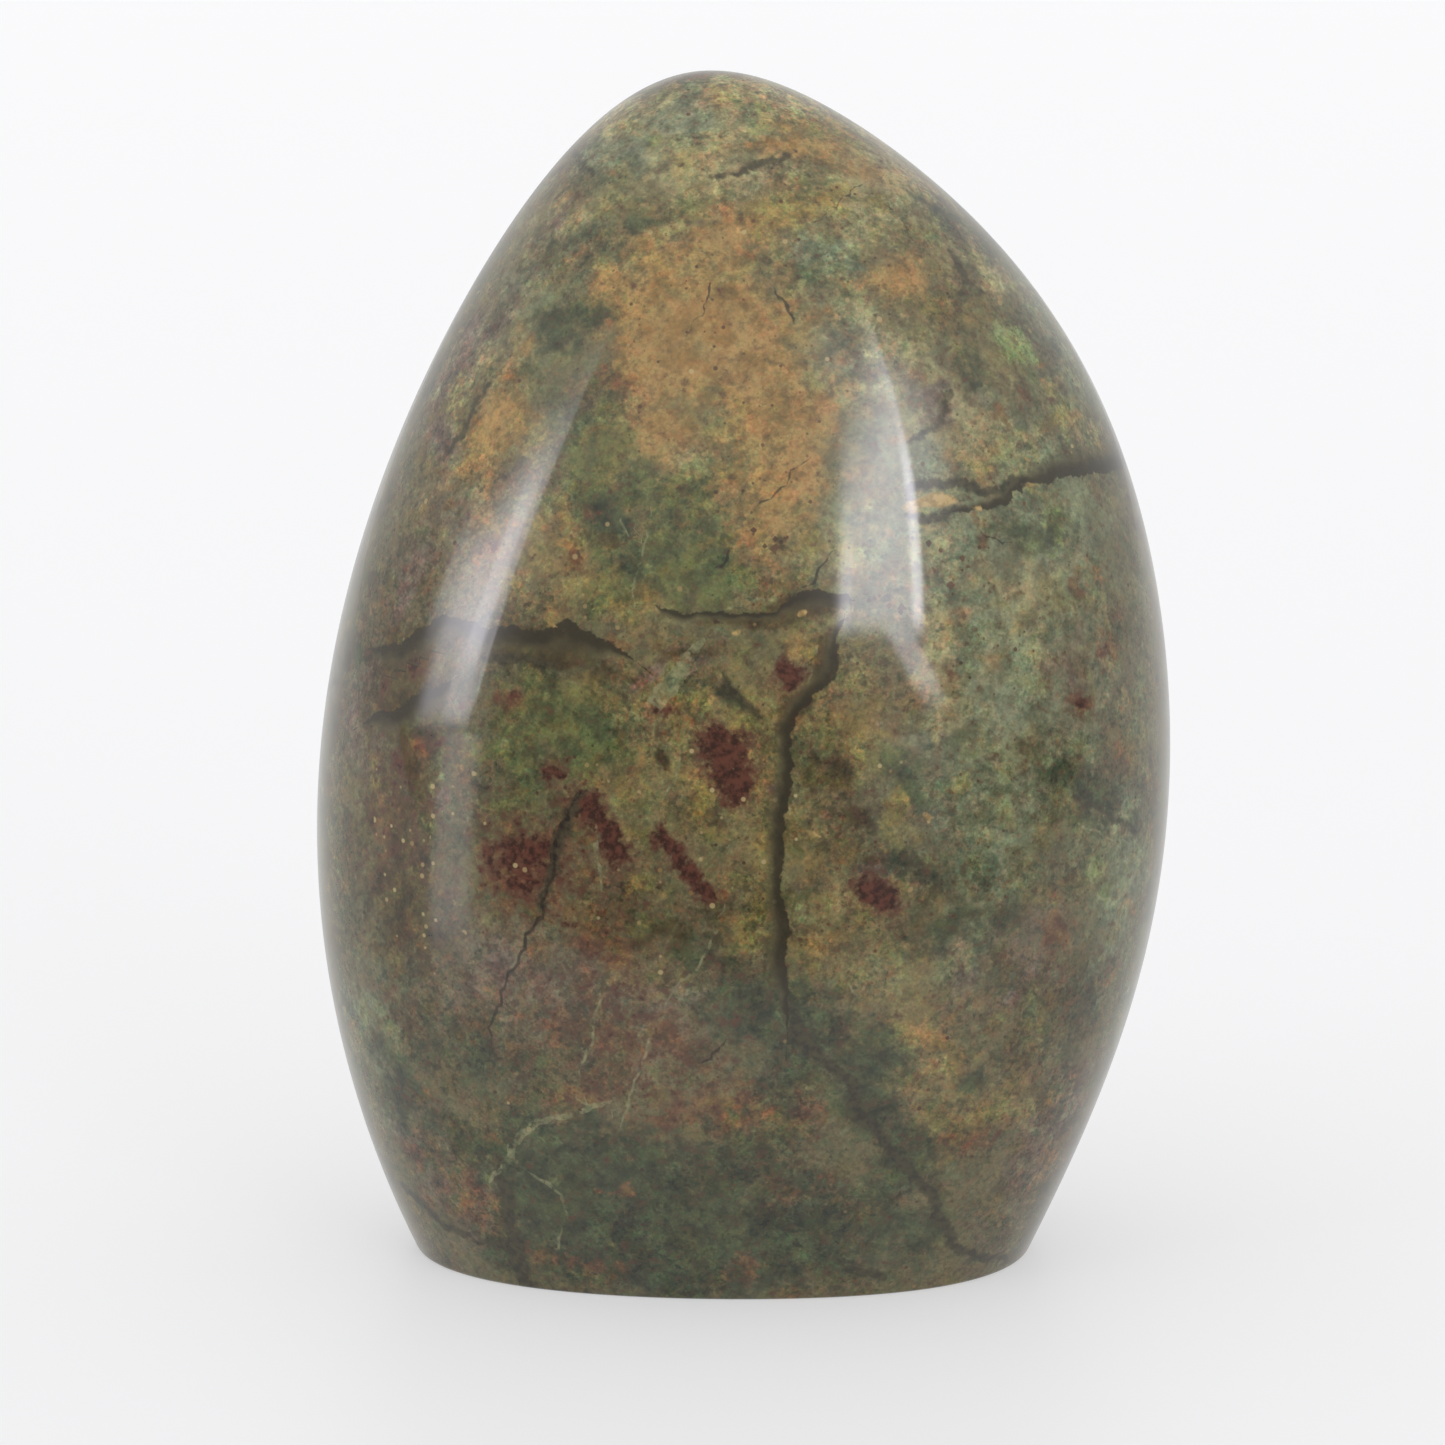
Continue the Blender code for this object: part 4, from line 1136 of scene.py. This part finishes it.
# For each: spacing in mm, radius as a share of the spacing, share of holes that are filled
# where there are few, how many more where there are many, two tints, opacity.
FLECKS = {
    "specks": (0.5, 0.34, 0.07, 0.0, "#33251a", "#5f3c2b", 0.6),
    "crumbs": (1.0, 0.31, 0.012, 0.55, "#80653b", "#b3a273", 0.75),
    "pits": (0.9, 0.26, 0.04, 0.40, "#33211b", "#5d3a2a", 0.8),
    "splinters": (1.0, 0.68, 0.0, 0.8, "#38221a", "#5a3d2c", 0.85),
}
for kind, (spacing, radius, few, more, dark, light, opacity) in FLECKS.items():
    way = {"distance": "MANHATTAN" if kind == "splinters" else "EUCLIDEAN"}
    holes = add(rock, "TexVoronoi", way, {"Vector": spot, "Scale": 1 / (spacing * MM)}).outputs
    chance = add(rock, "SeparateColor", {}, {0: holes["Color"]}).outputs
    field = add(rock, "Attribute", {"attribute_name": kind}, {}).outputs["Fac"]
    likely = add(rock, "Math", TIMES_PLUS, {0: field, 1: more, 2: chance[0]}).outputs[0]
    needed, sure = 1 - few, 1 - few + CHANCE_EDGE
    span = {"Value": likely, "From Min": needed, "From Max": sure, "To Max": opacity}
    filled = add(rock, "MapRange", SOFT_STEP, span).outputs[0]
    # a chance adds to the distance from the middle, which makes some holes smaller
    apart = {0: chance[2], 1: radius / 2, 2: holes["Distance"]}
    from_middle = add(rock, "Math", TIMES_PLUS, apart).outputs[0]
    tints = {0: chance[1], 6: linear(dark), 7: linear(light)}
    tint = add(rock, "Mix", {"data_type": "RGBA"}, tints).outputs[2]
    colour = lay(colour, tint, from_middle, radius + HOLE_EDGE, radius - HOLE_EDGE, filled)
print("there are", len(FLECKS), "kinds of flecks")

# %% [markdown]
# ## The lines in the colour
# Dark veins come first, then fissures, pale veins and cracks, and the cream clay in its holes
# last. The mesh holds how far beside a line each point lies, and the line's half width. The
# shader draws the edge where the two are equal, because an edge drawn there is sharper than
# the mesh is fine, and a noise lets it waver. A fissure's filling is dark at its crisp edge
# and breaks up towards the other side.

# %% Draw the lines
VEIN_BREAKS = (0.40, 0.54)  # values of a noise where a pale vein is gone, and is whole
FILLING_FADES = (1.36, 0.66)  # where a fissure's filling has gone, and is whole
FILLING_SWING = (0.50, 1.0)  # where it is dark, and is light
FILLING_FRAYS = 0.6  # how strongly a noise breaks it up
THINNEST = 0.05  # mm, so that nothing is divided by zero
# For each family: two tints, how far its edge wavers in mm, softness of the edge in mm,
# opacity.
LINES = {
    "dark_vein": ("#2c271d", "#423e2b", 1.0, 0.28, 0.85),
    "fissure": ("#2d2719", "#49442e", 0.8, 0.10, 0.92),
    "pale_vein": ("#747452", "#97966e", 0.2, 0.07, 0.52),
    "crack": ("#221b14", "#3a3022", 0.25, 0.07, 0.85),
    "cream": ("#8f7342", "#bb9f68", 0.6, 0.18, 0.85),
}
for family, (dark, light, waver, soft, opacity) in LINES.items():
    side = add(rock, "Attribute", {"attribute_name": family + "_side"}, {}).outputs["Fac"]
    half = add(rock, "Attribute", {"attribute_name": family + "_half"}, {}).outputs["Fac"]
    swing = (grain[0], *TINT_SWING)
    fades = None
    if family == "fissure":
        depth = side
        wide = add(rock, "Math", {"operation": "MAXIMUM"}, {0: half, 1: THINNEST}).outputs[0]
        run = add(rock, "Math", {"operation": "DIVIDE"}, {0: side, 1: wide}).outputs[0]
        patchy = add(rock, "Math", TIMES_PLUS, {0: bits[2], 1: FILLING_FRAYS, 2: run}).outputs[0]
        swing = (patchy, *FILLING_SWING)
        fades = (patchy, *FILLING_FADES)
    else:
        gap = add(rock, "Math", {"operation": "ABSOLUTE"}, {0: side}).outputs[0]
        depth = add(rock, "Math", {"operation": "SUBTRACT"}, {0: half, 1: gap}).outputs[0]
    if family == "pale_vein":
        fades = (bits[0], *VEIN_BREAKS)
    if fades:
        span = {"Value": fades[0], "From Min": fades[1], "From Max": fades[2], "To Max": opacity}
        opacity = add(rock, "MapRange", SOFT_STEP, span).outputs[0]
    tint = lay(linear(dark), linear(light), *swing)
    ragged = add(rock, "Math", TIMES_PLUS, {0: grain[1], 1: waver, 2: depth}).outputs[0]
    colour = lay(colour, tint, ragged, waver / 2 - soft, waver / 2 + soft, opacity)
print("the rock is wired from", len(rock.nodes), "nodes")

# %% [markdown]
# ## The polish
# The mirror is a coat. Polished quartz would send back 4.5 percent of the light face-on and
# nearly all of it at the limbs, but the threads and pits of this one scatter a good part.
# The coat's weight times the face-on share of its index makes 2.8 percent, and the weight
# alone caps the glare at the limbs. Under the coat the stone has only a dull sheen.

# %% Polish it
rock.links.new(colour, body.inputs["Base Color"])
body.inputs["IOR"].default_value = 1.54
body.inputs["Roughness"].default_value = 0.25
body.inputs["Specular IOR Level"].default_value = 0.2
body.inputs["Coat Weight"].default_value = 0.34
body.inputs["Coat Roughness"].default_value = 0.04
body.inputs["Coat IOR"].default_value = 1.8
stone_mesh.materials.append(chrysoprase)
coat_index = body.inputs["Coat IOR"].default_value
face_on = body.inputs["Coat Weight"].default_value * ((coat_index - 1) / (coat_index + 1)) ** 2
print("face-on the coat mirrors", round(face_on * 100, 1), "percent of the light")

# %% Hand the skin over
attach(stone, "root")
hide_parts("stone")
low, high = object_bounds()
